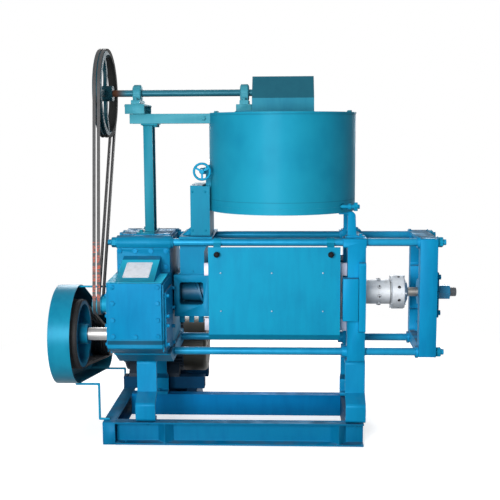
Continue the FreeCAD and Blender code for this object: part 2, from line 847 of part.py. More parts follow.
def end_yoke():
    """Thrust yoke: two uprights, top and bottom beams, and the web that holds the thrust housing."""
    outer = [(-yoke_half_depth, yoke_bottom, 8), (yoke_half_depth, yoke_bottom, 8),
             (yoke_half_depth, yoke_top, 12), (-yoke_half_depth, yoke_top, 12)]
    body = plate_x(outer, yoke_x0, yoke_x1)
    windows = []
    for z0, z1 in ((yoke_bottom + yoke_beam, press_z - yoke_web_half), (press_z + yoke_web_half, yoke_top - yoke_beam)):
        windows.append(plate_x([(-yoke_inner_y, z0, 18), (yoke_inner_y, z0, 18), (yoke_inner_y, z1, 18),
                                (-yoke_inner_y, z1, 18)], yoke_x0 - 1, yoke_x1 + 1))
    pocket = block(yoke_x0 - 1, yoke_x1 - 30, -yoke_inner_y, yoke_inner_y, press_z - yoke_web_half - 1,
                   press_z + yoke_web_half + 1)
    body = body.cut(windows + [pocket])
    collars = [bar_x(yoke_x0 - 12, yoke_x0 + 1, y, z, rod_r + 12) for y, z in rod_places]
    top_lip = block(yoke_x0 - 12, yoke_x0 + 1, -yoke_half_depth + 40, yoke_half_depth - 4, yoke_top - 12, yoke_top)
    gusset = plate_y([(yoke_x0 + 30, yoke_bottom + yoke_beam - 1), (yoke_x1 - 28, yoke_bottom + yoke_beam - 1),
                      (yoke_x1 - 28, yoke_bottom + yoke_beam + 8), (yoke_x0 + 36, yoke_bottom + yoke_beam + 52)],
                     yoke_inner_y - 12, yoke_inner_y + 1)
    body = union([body, top_lip, gusset, mirrored(gusset)] + collars)
    holes = [bar_x(yoke_x0 - 30, yoke_x1 + 30, y, z, rod_r + gap) for y, z in rod_places]
    return body.cut(holes + [bar_x(yoke_x0 - 30, yoke_x1 + 30, 0, press_z, 60)])


def thrust_housing():
    """Thrust bearing housing inside the yoke, its outer plate and their bolts."""
    flange_x = yoke_x1 - 30
    housing = turned_x([(flange_x - 40, thrust_end_r + gap), (flange_x - 40, 66, 4), (flange_x - 16, 74),
                        (flange_x - 16, 104, 3), (flange_x, 104), (flange_x, 60 - gap), (yoke_x1, 60 - gap),
                        (yoke_x1, thrust_end_r + gap)], 0, press_z)
    half = thrust_half
    plate = plate_x([(-half, press_z - half, 14), (half, press_z - half, 14), (half, press_z + half, 14),
                     (-half, press_z + half, 14)], yoke_x1, yoke_x1 + thrust_plate)
    plate = plate.cut(bar_x(yoke_x1 - 1, yoke_x1 + thrust_plate + 1, 0, press_z, thrust_end_r + gap))
    bolts = []
    for k in range(6):
        turn = math.radians(30 + 60 * k)
        y = 89 * math.cos(turn)
        z = press_z + 89 * math.sin(turn)
        bolts.append(nut_x(flange_x - 30, flange_x - 16, y, z, 24))
    for y in (-94, 94):
        for z in (-94, 94):
            bolts.append(nut_x(yoke_x1 + thrust_plate, yoke_x1 + thrust_plate + 12, y, press_z + z, 24))
    return group([housing, plate] + bolts)


def feed_housing():
    """Box casting round the first worm, open at the top to the hopper and at the front as a window."""
    half = feed_half_depth
    body = block(feed_x0, cage_x0, -half, half, feed_z0, feed_z1)
    neck = bar_x(case_x1 + gap, feed_x0 + 1, 0, press_z, 96)
    tabs = [block(x, x + 26, -half + 20, -half + 44, feed_z0 - 36, feed_z0 + 1)
            for x in (feed_x0 + 24, feed_x0 + 74, feed_x0 + 124)]
    body = union([body, neck] + tabs)
    window = plate_y([(window_x0, window_z0, 14), (window_x1, window_z0, 14), (window_x1, window_z1, 14),
                      (window_x0, window_z1, 14)], -half - 1, 0)
    throat = block(hopper_x0 + 14, hopper_x1 - 14, -74, 74, press_z, feed_z1 + 1)
    bore = bar_x(feed_x0 + 16, cage_x0 + 1, 0, press_z, cage_bore / 2)
    passage = bar_x(case_x1 - 1, feed_x0 + 20, 0, press_z, shaft_gear_r + gap)
    return body.cut([window, throat, bore, passage])


def feed_hopper():
    """Sheet hopper between the two upper rods: straight below, flared to the right at its mouth."""
    def wall_points(inset):
        return [(hopper_x0 + inset, feed_z1 + 6), (hopper_x1 - inset, feed_z1 + 6), (hopper_x1 - inset, hopper_flare_z),
                (chute_x1 - inset, rod_top_z + rod_r), (hopper_x0 + inset, rod_top_z + rod_r)]

    half = hopper_half_depth
    outer = plate_y(wall_points(0), -half, half)
    inner = plate_y([(x, z + (1 if z > press_z + 250 else -1)) for x, z in wall_points(sheet)],
                    -half + sheet, half - sheet)
    flange_y = clamp_bar_y - gap
    flange = block(hopper_x0 - 8, hopper_x1 + 6, -flange_y, flange_y, feed_z1, feed_z1 + 6)
    mouth = block(hopper_x0 + 14, hopper_x1 - 14, -74, 74, feed_z1 - 1, feed_z1 + 7)
    bolt = nut_y(-half - 7, -half, (hopper_x0 + hopper_x1) / 2, feed_z1 + 16, 13)
    return union([outer.cut(inner), flange.cut(mouth), bolt])


def feed_table():
    """Plate that lies across the upper rods and carries the chute, with its two end gussets."""
    z0 = rod_top_z + rod_r
    plate = block(table_x0, table_x1, -table_half_depth, table_half_depth, z0, z0 + table_plate)
    top = z0 + table_plate
    half = hopper_half_depth - 8
    hole = block(chute_x0 + 8, chute_x1 - 12, -half, half, z0 - 1, top + 1)
    gussets = []
    for y in (-100, 100):
        gussets.append(plate_y([(table_x0 + 6, top - 1), (chute_x0, top - 1), (chute_x0, top + 40)], y - 4, y + 4))
    return union([plate.cut(hole)] + gussets)


def upper_chute():
    """Chute under the kettle outlet: three tall walls, and a short wall below the kettle that bears its edge."""
    half = hopper_half_depth
    z0 = rod_top_z + rod_r + table_plate
    back = block(chute_x0, chute_x0 + sheet, -half, half, z0, chute_top)
    sides = [block(chute_x0, chute_x1, y, y + sheet, z0, chute_top) for y in (-half, half - sheet)]
    bearing = block(chute_x1 - 10, chute_x1, -half, half, z0, kettle_z0)
    lid = block(chute_x0, lid_x1, -half, half, chute_top, chute_top + lid_plate)
    shape = union([back, bearing, lid] + sides)
    return shape.cut(bar_z(kettle_z0, chute_top + 10, kettle_x, 0, kettle_r))


def cage_half():
    """Front half of the cage frame: two long clamp bars and the half-round ribs between them."""
    y_out = -clamp_bar_y - clamp_bar_depth
    bars = [block(clamp_x0, clamp_x1, y_out, -clamp_bar_y, z, z + clamp_bar_height)
            for z in (clamp_z_low, clamp_z_high)]
    ribs = []
    run = cage_x1 - cage_x0 - cage_rib_width
    for k in range(cage_rib_count):
        x = cage_x0 + run * k / (cage_rib_count - 1)
        top = clamp_z_high + clamp_bar_height
        low = clamp_z_low
        points = [(-clamp_bar_y - 1, low), (-clamp_bar_y - 1, top), (43 - clamp_bar_y, top - 8, 20),
                  (-40, press_z + rib_rise, 20), (-gap / 2, press_z + rib_rise), (-gap / 2, press_z - rib_rise),
                  (-40, press_z - rib_rise, 20), (43 - clamp_bar_y, low + 8, 20)]
        ribs.append(plate_x(points, x, x + cage_rib_width))
    body = union(bars + ribs)
    return body.cut(bar_x(cage_x0 - 30, cage_x1 + 40, 0, press_z, cage_bore / 2 + bar_depth + running))


def cage_bars():
    """Lining bars laid side by side round the worm; oil runs out through the slits between them."""
    inner = cage_bore / 2
    outer = inner + bar_depth
    shell = tube_x(cage_x0, cage_x1, 0, press_z, outer, inner)
    slits = []
    for k in range(bar_count):
        cut = block(cage_x0 - 1, cage_x1 + 1, -bar_slit / 2, bar_slit / 2, press_z, press_z + outer + 5)
        slits.append(cut.rotate(vec(0, 0, press_z), vec(1, 0, 0), 360.0 * (k + 0.5) / bar_count))
    return group(shell.cut(slits).Solids)


def kettle_shell():
    """Cylindrical kettle wall, open at the top, with the outlet cut low in its left side."""
    wall = tube_z(kettle_z0, kettle_z1, kettle_x, 0, kettle_r, kettle_r - kettle_wall)
    band = tube_z(kettle_z0, kettle_z0 + 30, kettle_x, 0, kettle_r + 2, kettle_r - 1)
    rim = tube_z(kettle_z1 - 6, kettle_z1, kettle_x, 0, kettle_r + 3, kettle_r - 1)
    keep = block(kettle_x - kettle_r + 26, kettle_x + kettle_r + 10, -kettle_r - 10, kettle_r + 10,
                 kettle_z0 - 1, kettle_z1 + 1)
    shape = union([wall, band.common(keep), rim.common(keep)])
    outlet = block(kettle_x - kettle_r - 20, kettle_x - kettle_r + 60, -outlet_half, outlet_half, pan_top, outlet_z1)
    steam = bar_x(kettle_x + 200, kettle_x + kettle_r + 20, steam_y, steam_z, steam_bore / 2 + 6)
    return shape.cut([outlet, steam])


def kettle_pan():
    """Double bottom of the kettle: a shallow steam jacket with the footstep of the stirrer."""
    r = kettle_r - kettle_wall
    floor = turned_z([(0, kettle_z0), (r, kettle_z0), (r, pan_top), (0, pan_top)], kettle_x, 0)
    room = turned_z([(40, kettle_z0 + 10), (r - 10, kettle_z0 + 10), (r - 10, pan_top - 10), (40, pan_top - 10)],
                    kettle_x, 0)
    socket = bar_z(pan_top - 26, pan_top + 1, kettle_x, 0, stirrer_r + running)
    steam = bar_x(kettle_x + 250, kettle_x + kettle_r, steam_y, steam_z, steam_bore / 2)
    return floor.cut([room, socket, steam])


def kettle_posts():
    """Two posts on the press head that carry the right side of the kettle."""
    def post():
        foot = block(post_x0 - 12, head_x1 - 4, -post_y1, -post_y0 - 6, head_top, head_top + 8)
        column = plate_y([(post_x0, head_top + 7), (post_x1 + 6, head_top + 7), (post_x1, head_top + 30, 8),
                          (post_x1 - 4, kettle_z0, 24), (post_x0, kettle_z0)], -post_y1 + 6, -post_y0 - 10)
        arm = block(post_x0 - 44, post_x0 + 8, -post_y1 + 6, -post_y0 - 10, kettle_z0 - 14, kettle_z0)
        bolt = nut_z(head_top + 8, head_top + 18, post_x1 + 26, -(post_y0 + post_y1) / 2, 18)
        return union([foot, column, arm, bolt])

    front = post()
    return group([front, mirrored(front)])


def kettle_bridge():
    """Channel beam across the kettle mouth with its bolted ends, the deck and the bearing pedestal."""
    left = kettle_x - kettle_r + kettle_wall
    right = kettle_x + kettle_r - kettle_wall
    z0 = kettle_z1 - bridge_height
    outer = block(left - 20, right + 20, -bridge_half, bridge_half, z0, kettle_z1)
    inner = block(left - 21, right + 21, -bridge_half + 7, bridge_half - 7, z0 - 1, kettle_z1 - 8)
    beam = outer.cut(inner)
    ends = [block(left - 20, left + 30, -bridge_half, bridge_half, z0, kettle_z1),
            block(right - 30, right + 20, -bridge_half, bridge_half, z0, kettle_z1)]
    deck = block(deck_x0, deck_x1, -deck_half, deck_half, kettle_z1, kettle_z1 + deck_plate)
    boss = bar_z(z0, kettle_z1 - 7, kettle_x, 0, stirrer_r + 22)
    body = union([beam, deck, boss] + ends)
    keep = bar_z(z0 - 5, kettle_z1 + 20, kettle_x, 0, kettle_r - kettle_wall)
    body = body.common(keep)
    pedestal = block(pedestal_x0, pedestal_x1, -pedestal_half, pedestal_half, kettle_z1 + deck_plate - 1,
                     drive_z - housing_r - block_foot + 5)
    bolts = []
    for x in (left + 29, right - 24):
        for y in (-30, 30):
            bolts.append(nut_z(kettle_z1, kettle_z1 + 11, x, y, 19))
    body = union([body, pedestal] + bolts)
    return body.cut(bar_z(z0 - 5, kettle_z1 + 20, kettle_x, 0, stirrer_r + 14))


def gear_hood():
    """Sheet hood over the bevel gears: upright sides, sloped front and rear, open below."""
    z0 = kettle_z1 + deck_plate
    roof = [(-hood_half, z0), (hood_half, z0), (hood_half, hood_eave), (hood_ridge_half, hood_ridge),
            (-hood_ridge_half, hood_ridge), (-hood_half, hood_eave)]
    s = hood_sheet
    room = [(-hood_half + s, z0 - 1), (hood_half - s, z0 - 1), (hood_half - s, hood_eave - 1),
            (hood_ridge_half - 1, hood_ridge - s), (-hood_ridge_half + 1, hood_ridge - s),
            (-hood_half + s, hood_eave - 1)]
    shell = plate_x(roof, hood_left, hood_right).cut(plate_x(room, hood_left + s, hood_right - s))
    slot = union([bar_x(hood_left - 1, hood_left + s + 1, 0, drive_z, drive_r + 6),
                  block(hood_left - 1, hood_left + s + 1, -drive_r - 6, drive_r + 6, z0 - 1, drive_z)])
    return shell.cut(slot)


def drive_beam():
    """Channel beam from the post to the kettle wall, with the seat of the left bearing."""
    right = kettle_x - kettle_r + 30
    outer = block(beam_left, right, beam_y0, beam_y1, beam_z0, beam_z1)
    inner = block(beam_left - 1, right + 1, beam_y0 + 6, beam_y1 - 6, beam_z0 - 1, beam_z1 - 7)
    beam = outer.cut(inner).cut(bar_z(beam_z0 - 1, beam_z1 + 1, kettle_x, 0, kettle_r))
    seat = block(seat_x0, seat_x1, -seat_half, seat_half, beam_z1, seat_top)
    hollow = block(seat_x0 - 1, seat_x1 + 1, -seat_half + 8, seat_half - 8, beam_z1 - 1, seat_top - 8)
    bolt = nut_y(beam_y0 - 9, beam_y0, beam_bolt_x, (beam_z0 + beam_z1) / 2, 19)
    return group([union([beam, bolt]), seat.cut(hollow)])


def drive_post():
    """Channel post on the gear case top with its foot and cap plates."""
    z0 = case_top + top_cover
    z1 = beam_z0
    x0 = post_left
    x1 = post_left + post_width
    web = block(x0, x0 + 7, beam_y0, beam_y1, z0 + foot_plate, z1 - 8)
    flanges = [block(x0, x1, y, y + 8, z0 + foot_plate, z1 - 8) for y in (beam_y0, beam_y1 - 8)]
    foot = block(x0 - 42, x1 + 2, -post_foot_front, post_foot_rear, z0, z0 + foot_plate)
    cap = block(x0 - 10, x1 + 28, beam_y0 - 10, beam_y1 + 10, z1 - 8, z1)
    bolts = [nut_z(z1 - 18, z1 - 8, x1 + 14, y, 19) for y in (beam_y0 + 14, beam_y1 - 14)]
    bolts += [nut_z(z0 + foot_plate, z0 + foot_plate + 10, x0 - 20, y, 19) for y in (-96, 60)]
    return union([web, foot, cap] + flanges + bolts)


def pillow_block(x, seat_z):
    """Cast bearing block: foot with two bolts and a round housing bored for the shaft."""
    x0 = x - block_width / 2
    x1 = x + block_width / 2
    foot = plate_y([(x0, seat_z), (x1, seat_z), (x1, seat_z + block_foot, 4), (x0, seat_z + block_foot, 4)],
                   -block_half_length, block_half_length)
    neck = plate_x([(-50, seat_z + block_foot - 2), (50, seat_z + block_foot - 2), (38, drive_z), (-38, drive_z)],
                   x0 + 4, x1 - 4)
    housing = turned_x([(x0, drive_r + running), (x0, housing_r - 8, 3), (x0 + 6, housing_r, 4),
                        (x1 - 6, housing_r, 4), (x1, housing_r - 8, 3), (x1, drive_r + running)], 0, drive_z)
    bolts = [nut_z(seat_z + block_foot, seat_z + block_foot + 10, x, y, 19) for y in (-68, 68)]
    body = union([foot, neck, housing] + bolts)
    return body.cut(bar_x(x0 - 1, x1 + 1, 0, drive_z, drive_r + running))


def shaft_bearings():
    """The two pillow blocks of the kettle drive shaft."""
    return group([pillow_block(block_left_x, seat_top),
                  pillow_block(block_right_x, drive_z - housing_r - block_foot + 5)])


def stirrer_bearing():
    """Flanged bush of the stirrer shaft in the bridge."""
    z1 = kettle_z1 + deck_plate
    points = [(stirrer_r + running, kettle_z1 - bridge_height), (stirrer_r + 14 - running, kettle_z1 - bridge_height),
              (stirrer_r + 14 - running, z1), (stirrer_r + 30, z1), (stirrer_r + 30, z1 + 9, 2),
              (stirrer_r + running, z1 + 9)]
    return turned_z(points, kettle_x, 0)


def gate_guides():
    """Guide rails of the outlet gate on the kettle wall, and the bracket of the handwheel shaft."""
    wall = bar_z(guide_z0 - 1, guide_z1 + 1, kettle_x, 0, kettle_r)
    rail = block(guide_x0, kettle_x - kettle_r + 14, -gate_half - 22, -gate_half + 8, guide_z0, guide_z1)
    groove = block(gate_x0 - gap, gate_x0 + gate_plate + gap, -gate_half - gap, -gate_half + 9,
                   guide_z0 - 1, guide_z1 + 1)
    sill = block(guide_x0, kettle_x - kettle_r + 2, -gate_half + 7, gate_half - 7, guide_z0, gate_z0 - gap)
    rail = rail.cut(groove)
    arm = plate_y([(wheel_x - 20, wheel_z - 16, 12), (kettle_x - kettle_r + 26, wheel_z - 16),
                   (kettle_x - kettle_r + 26, wheel_z + 16), (wheel_x - 20, wheel_z + 16, 12)],
                  bracket_y, bracket_y + bracket_plate)
    body = union([rail, mirrored(rail), sill, arm]).cut(wall)
    return body.cut(bar_y(-130, 0, wheel_x, wheel_z, wheel_shaft_r + running))


def steam_inlet():
    """Steam socket of the jacket: a nipple from the pan, a union nut and a threaded end."""
    bore = steam_bore / 2
    x0 = kettle_x + 282
    pipe = turned_x([(x0, bore - 4), (x0, bore - gap), (steam_x - 28, bore - gap), (steam_x - 28, bore + 6),
                     (steam_x - 12, bore + 6), (steam_x - 12, bore), (steam_x + 31, bore, 2), (steam_x + 31, bore - 4)],
                    steam_y, steam_z)
    union_nut = nut_x(steam_x + 2, steam_x + 20, steam_y, steam_z, 42)
    union_nut = union_nut.cut(bar_x(steam_x, steam_x + 40, steam_y, steam_z, bore - 1))
    return union([pipe, union_nut])


def belt_section(x, side, r):
    """Trapezoid of a vee belt whose back is at radius r; side is which way the radius runs."""
    return [(x - belt_bottom / 2, side * (r - belt_depth)), (x + belt_bottom / 2, side * (r - belt_depth)),
            (x + belt_top / 2, side * r), (x - belt_top / 2, side * r)]


def vee_belt(x, c1, r1, c2, r2):
    """Closed belt round two pulleys: wraps about each centre and two straight runs between them."""
    run = vec(0, c2[0] - c1[0], c2[1] - c1[1])
    length = run.Length
    heading = math.atan2(run.z, run.y)
    lean = math.asin((r2 - r1) / length)
    pieces = []
    straight = math.sqrt(length ** 2 - (r2 - r1) ** 2)
    for side in (1, -1):
        normal = heading + side * (math.pi / 2 + lean)
        out = vec(0, math.cos(normal), math.sin(normal))
        along = vec(0, math.cos(heading + side * lean), math.sin(heading + side * lean))
        start = vec(0, c1[0], c1[1])
        corners = belt_section(x, 1, r1)
        wire = Part.makePolygon([start + vec(a, 0, 0) + out * b for a, b in corners + corners[:1]])
        pieces.append(Part.Face(wire).extrude(along * straight))
    wrap1 = 180.0 - 2 * math.degrees(lean)
    wrap2 = 360.0 - wrap1
    start1 = math.degrees(heading) + 90 + math.degrees(lean)
    start2 = math.degrees(heading) - 90 - math.degrees(lean)
    pieces.append(turned_x(belt_section(x, 1, r1), c1[0], c1[1], start1, wrap1))
    pieces.append(turned_x(belt_section(x, 1, r2), c2[0], c2[1], start2, wrap2))
    return pieces[0].fuse(pieces[1:])


def belt_places(middle, pitch, count):
    return [middle + pitch * (k - (count - 1) / 2) for k in range(count)]


def pulley_outline(middle, width, rim_r, hub_r, bore_r, web, hub0, hub1, pitch, count, rim_wall):
    """Half section of a grooved pulley with a flat web, as (x, radius) points."""
    x0 = middle - width / 2
    x1 = middle + width / 2
    floor = rim_r - groove_depth
    points = [(x0, rim_r - rim_wall), (x0, rim_r)]
    for x in belt_places(middle, pitch, count):
        points += [(x - groove_top / 2, rim_r), (x - groove_bottom / 2, floor), (x + groove_bottom / 2, floor),
                   (x + groove_top / 2, rim_r)]
    points += [(x1, rim_r), (x1, rim_r - rim_wall), (web[1], rim_r - rim_wall - 3), (web[1], hub_r), (hub1, hub_r),
               (hub1, bore_r), (hub0, bore_r), (hub0, hub_r), (web[0], hub_r), (web[0], rim_r - rim_wall - 3)]
    return points


def kettle_belts():
    belts = [vee_belt(x, (lay_y, lay_z), small_pulley_r + belt_proud, (0, drive_z), top_pulley_r + belt_proud)
             for x in belt_places(kettle_pulley_x, belt_pitch, 2)]
    return group(belts)


def motor_belts():
    belts = [vee_belt(x, (input_y, input_z), input_pulley_r + belt_proud, (motor_y, motor_z),
                      motor_pulley_r + belt_proud)
             for x in belt_places(motor_pulley_x, motor_belt_pitch, motor_belt_count)]
    return group(belts)


def guard_outline(grow):
    """The outer line of the belt guard round both pulleys, grown or shrunk, as a face builder."""
    r1 = guard_r + grow
    r2 = guard_small_r + grow
    run = vec(motor_y - input_y, motor_z - input_z, 0)
    heading = math.atan2(run.y, run.x)
    lean = math.asin((r2 - r1) / run.Length)

    def on(centre, r, angle):
        return vec(0, centre[0] + r * math.cos(angle), centre[1] + r * math.sin(angle))

    big = (input_y, input_z)
    small = (motor_y, motor_z)
    up = heading + math.pi / 2 + lean
    down = heading - math.pi / 2 - lean
    far = Part.Arc(on(small, r2, up), on(small, r2, heading), on(small, r2, down)).toShape()
    near = Part.Arc(on(big, r1, down), on(big, r1, heading + math.pi), on(big, r1, up)).toShape()
    edges = [far, Part.makeLine(on(small, r2, down), on(big, r1, down)), near,
             Part.makeLine(on(big, r1, up), on(small, r2, up))]
    return Part.Face(Part.Wire(edges))


def belt_guard():
    """Sheet guard of the motor belts: a deep band closed on the outer side and open towards the press."""
    outer = guard_outline(0)
    outer.translate(vec(guard_x0, 0, 0))
    inner = guard_outline(-guard_sheet)
    inner.translate(vec(guard_x0 + guard_sheet, 0, 0))
    shell = outer.extrude(vec(guard_x1 - guard_x0, 0, 0))
    room = inner.extrude(vec(guard_x1 - guard_x0, 0, 0))
    return shell.cut(room)


def bent_rod(points, r):
    """A round rod bent along straight runs, with a ball at each corner."""
    pieces = []
    for a, b in zip(points[:-1], points[1:]):
        start = vec(*a)
        run = vec(*b) - start
        pieces.append(Part.makeCylinder(r, run.Length, start, run))
    for corner in points[1:-1]:
        pieces.append(Part.makeSphere(r, vec(*corner)))
    return union(pieces)


def guard_brackets():
    """Two bent rods from the guard to the left rail, and the stay to the gear case."""
    r = bracket_d / 2
    low = channel_height + r
    x_rail = side_flange / 2 - base_half_length
    front_y = input_y - 40
    front_z = input_z - math.sqrt(guard_r ** 2 - 40 ** 2) + 1
    drop_x = -base_half_length - 20
    front = bent_rod([(guard_x1 - 25, front_y, front_z - r), (drop_x, front_y, front_z - r), (drop_x, front_y, low),
                      (x_rail, front_y, low)], r)
    rear_z = motor_z - guard_small_r - r
    rear = bent_rod([(guard_x1 - 25, motor_y, rear_z), (drop_x, motor_y, rear_z), (drop_x, motor_y, low),
                     (x_rail, motor_y, low)], r)
    stay_z = input_z + guard_r - guard_sheet - 5
    stay = bar_x(guard_x1 - 30, case_x0, 10 - case_half_depth, stay_z, 5)
    body = [front, rear, stay]
    return group([piece.cut(belt_guard()) for piece in body])


def motor_body():
    """Finned stator frame with its feet and the terminal box on top."""
    points = []
    for k in range(motor_fins):
        middle = 2 * math.pi * (k + 0.5) / motor_fins
        low = 0.30 * math.pi / motor_fins
        for angle, r in ((middle - 2.2 * low, motor_core_r), (middle - low, motor_fin_r), (middle + low, motor_fin_r),
                         (middle + 2.2 * low, motor_core_r)):
            points.append((motor_y + r * math.cos(angle), motor_z + r * math.sin(angle)))
    frame = plate_x(points, motor_x0, motor_x1)
    foot_z = motor_z - motor_frame
    feet = []
    for side in (-1, 1):
        y = motor_y + side * motor_foot_y
        feet.append(plate_x([(y - 38, foot_z), (y + 38, foot_z), (y + 38, foot_z + 18, 5),
                             (y - 20, motor_z - 70), (y - 60, motor_z - 70), (y - 38, foot_z + 18)]
                            if side > 0 else
                            [(y - 38, foot_z), (y + 38, foot_z), (y + 38, foot_z + 18), (y + 60, motor_z - 70),
                             (y + 20, motor_z - 70), (y - 38, foot_z + 18, 5)],
                            motor_x0 + gap, motor_x1 - 18))
    lid_z = motor_z + motor_fin_r + 66
    box = block(motor_x0 + 80, motor_x0 + 210, motor_y - 62, motor_y + 62, motor_z + motor_core_r - 8, lid_z)
    lid = block(motor_x0 + 76, motor_x0 + 214, motor_y - 66, motor_y + 66, lid_z, lid_z + 8)
    body = union([frame, box, lid] + feet)
    return body.cut(bar_x(motor_x0 - 1, motor_x1 + 1, motor_y, motor_z, motor_core_r - 12))


def motor_end_shields():
    """Domed end shields with the shaft bearings, and the studs that hold them."""
    r = motor_core_r
    rim = motor_fin_r - motor_sheet - gap
    bore = motor_shaft_r + 9 + running
    drive = turned_x([(motor_shield_left, bore), (motor_shield_left, 70, 6), (motor_shield_left + 18, 84, 8),
                      (motor_x0 - 36, r - 14, 14), (motor_x0 - 26, rim, 4), (motor_x0, rim), (motor_x0, r - 14),
                      (motor_x0 - 24, r - 22), (motor_shield_left + 24, 66), (motor_shield_left + 24, bore)],
                     motor_y, motor_z)
    far = turned_x([(motor_x1, r - 14), (motor_x1, rim), (motor_x1 + 26, rim, 2), (motor_x1 + 30, r - 14),
                    (motor_x1 + 30, bore), (motor_x1 + 6, bore), (motor_x1 + 6, r - 14)], motor_y, motor_z)
    return group([drive, far])


def motor_fan_cover():
    """Pressed fan cover with a ring of air slots in its end."""
    r = motor_fin_r
    s = motor_sheet
    x0 = motor_x1 + 8
    x1 = motor_cover_right
    shell = turned_x([(x0, r - s), (x0, r), (x1, r, 22), (x1, 12), (x1 - s, 12), (x1 - s, r - s, 19)],
                     motor_y, motor_z)
    slots = []
    for k in range(12):
        slot = block(x1 - 10, x1 + 5, motor_y - 6, motor_y + 6, motor_z + 45, motor_z + 120)
        slots.append(slot.rotate(vec(0, motor_y, motor_z), vec(1, 0, 0), 30.0 * k))
    return shell.cut(slots)


def worm_shaft():
    """Main shaft, stepped down to the thrust end, with its end nut."""
    points = [(shaft_left, 0), (shaft_left, shaft_gear_r - 2), (shaft_left + 2, shaft_gear_r),
              (feed_x0 + 6, shaft_gear_r), (feed_x0 + 6, shaft_r), (shaft_step_x, shaft_r),
              (shaft_step_x, thrust_end_r), (collar_x0, thrust_end_r), (collar_x0, collar_r), (collar_x1, collar_r),
              (collar_x1, thrust_end_r), (shaft_right - 3, thrust_end_r), (shaft_right, thrust_end_r - 3),
              (shaft_right, 0)]
    shaft = turned_x(points, 0, press_z)
    x0 = yoke_x1 + thrust_plate + gap
    nut = nut_x(x0, thrust_nut_end, 0, press_z, thrust_nut_flats)
    nut = nut.cut(bar_x(x0 - 1, thrust_nut_end + 1, 0, press_z, thrust_end_r + running))
    return group([shaft, nut])


def worm_sections():
    """Worm sleeves on the shaft, each a cylinder with one turn of flight, the pitch shrinking to the right."""
    pieces = []
    x = feed_x0 + 22
    pitch = worm_first_pitch
    for k in range(worm_turns):
        root = worm_root_r + worm_root_step * k
        sleeve = tube_x(x, x + pitch - 2, 0, press_z, root, shaft_r + running)
        turn = pitch - flight_width - 6
        helix = Part.makeHelix(turn, turn, root - 2)
        helix.rotate(vec(0, 0, 0), vec(0, 1, 0), 90)
        helix.translate(vec(x + flight_width / 2 + 2, 0, press_z))
        start = helix.Vertexes[0].Point
        out = start - vec(start.x, 0, press_z)
        out.normalize()
        reach = worm_tip_r - root + 2
        w = flight_width / 2
        corners = [start + vec(-w, 0, 0), start + vec(w, 0, 0), start + vec(w - 3, 0, 0) + out * reach,
                   start + vec(-w + 3, 0, 0) + out * reach]
        profile = Part.makePolygon(corners + corners[:1])
        flight = Part.Wire(helix.Edges).makePipeShell([profile], True, True)
        sleeve = sleeve.fuse(flight)
        pieces += sleeve.Solids
        x += pitch
        pitch *= worm_pitch_ratio
    return group(pieces)


def mesh_phase(y_from, z_from, y_to, z_to):
    return math.atan2(z_to - z_from, y_to - y_from)


def bull_gear():
    """Final gear on the worm shaft, its web recessed on both sides, with four lightening holes."""
    line = mesh_phase(0, press_z, lay_y, lay_z)
    x1 = bull_x0 + bull_face
    body = spur_gear(final_module, bull_teeth, line + math.pi / bull_teeth, bull_x0, x1, 0, press_z)
    rim_r = final_module * (bull_teeth / 2 - root_factor) - 22
    recess = [tube_x(a, b, 0, press_z, rim_r, gear_hub_r) for a, b in ((bull_x0 - 1, bull_x0 + 26), (x1 - 26, x1 + 1))]
    holes = []
    for k in range(4):
        turn = math.radians(90 * k + 45)
        holes.append(bar_x(bull_x0 - 1, x1 + 1, 148 * math.cos(turn), press_z + 148 * math.sin(turn), 36))
    return body.cut(recess + holes + [bar_x(bull_x0 - 1, x1 + 1, 0, press_z, shaft_gear_r + running)])


def choke_cone():
    """Choke sleeve with the cone that closes the discharge, and its ring of set screws."""
    bore = thrust_end_r + running
    step = shaft_step_x + choke_travel + 2
    screw_x = cone_x0 + 159
    points = [(cone_x0, shaft_r + 1), (cone_x0, sleeve_r, 2), (cone_x0 + 44, cone_r), (ring_x0 - 1, cone_r),
              (ring_x0 - 1, sleeve_r), (cone_x1, sleeve_r), (cone_x1, bore), (step, bore), (step, shaft_r + 1)]
    body = turned_x(points, 0, press_z)
    screws = []
    for k in range(8):
        turn = 45.0 * k + 12
        screw = bar_z(press_z + cone_r - 4, press_z + cone_r + 9, screw_x, 0, 9)
        socket = bar_z(press_z + cone_r + 3, press_z + cone_r + 10, screw_x, 0, 4)
        screws.append(screw.cut(socket).rotate(vec(0, 0, press_z), vec(1, 0, 0), turn))
    return union([body] + screws)


def choke_ring():
    """Ring nut that moves the choke sleeve, trapped on the shaft collar, with holes for a bar."""
    bore = thrust_end_r + running
    pocket = sleeve_r + gap
    groove = collar_r + gap
    points = [(ring_x0, pocket), (ring_x0, ring_r - 6), (ring_x0 + 5, ring_r, 2), (ring_x1 - 5, ring_r, 2),
              (ring_x1, ring_r - 6), (ring_x1 + 2, 72), (ring_x1 + 16, 46, 3), (ring_x1 + 16, bore),
              (collar_x1 + gap, bore), (collar_x1 + gap, groove), (collar_x0 - gap, groove), (collar_x0 - gap, bore),
              (collar_x0 - 8, bore), (collar_x0 - 8, pocket)]
    body = turned_x(points, 0, press_z)
    holes = []
    heads = []
    for k in range(8):
        turn = 45.0 * k + 20
        hole = bar_z(press_z + ring_r - 22, press_z + ring_r + 5, (ring_x0 + ring_x1) / 2 + 3, 0, 8)
        holes.append(hole.rotate(vec(0, 0, press_z), vec(1, 0, 0), turn))
        for x in (ring_x0 - 5, ring_x1):
            head = bar_x(x, x + 5.5, 0, press_z + ring_r - 9, 5)
            heads.append(head.rotate(vec(0, 0, press_z), vec(1, 0, 0), turn + 22))
    return union([body.cut(holes)] + heads)


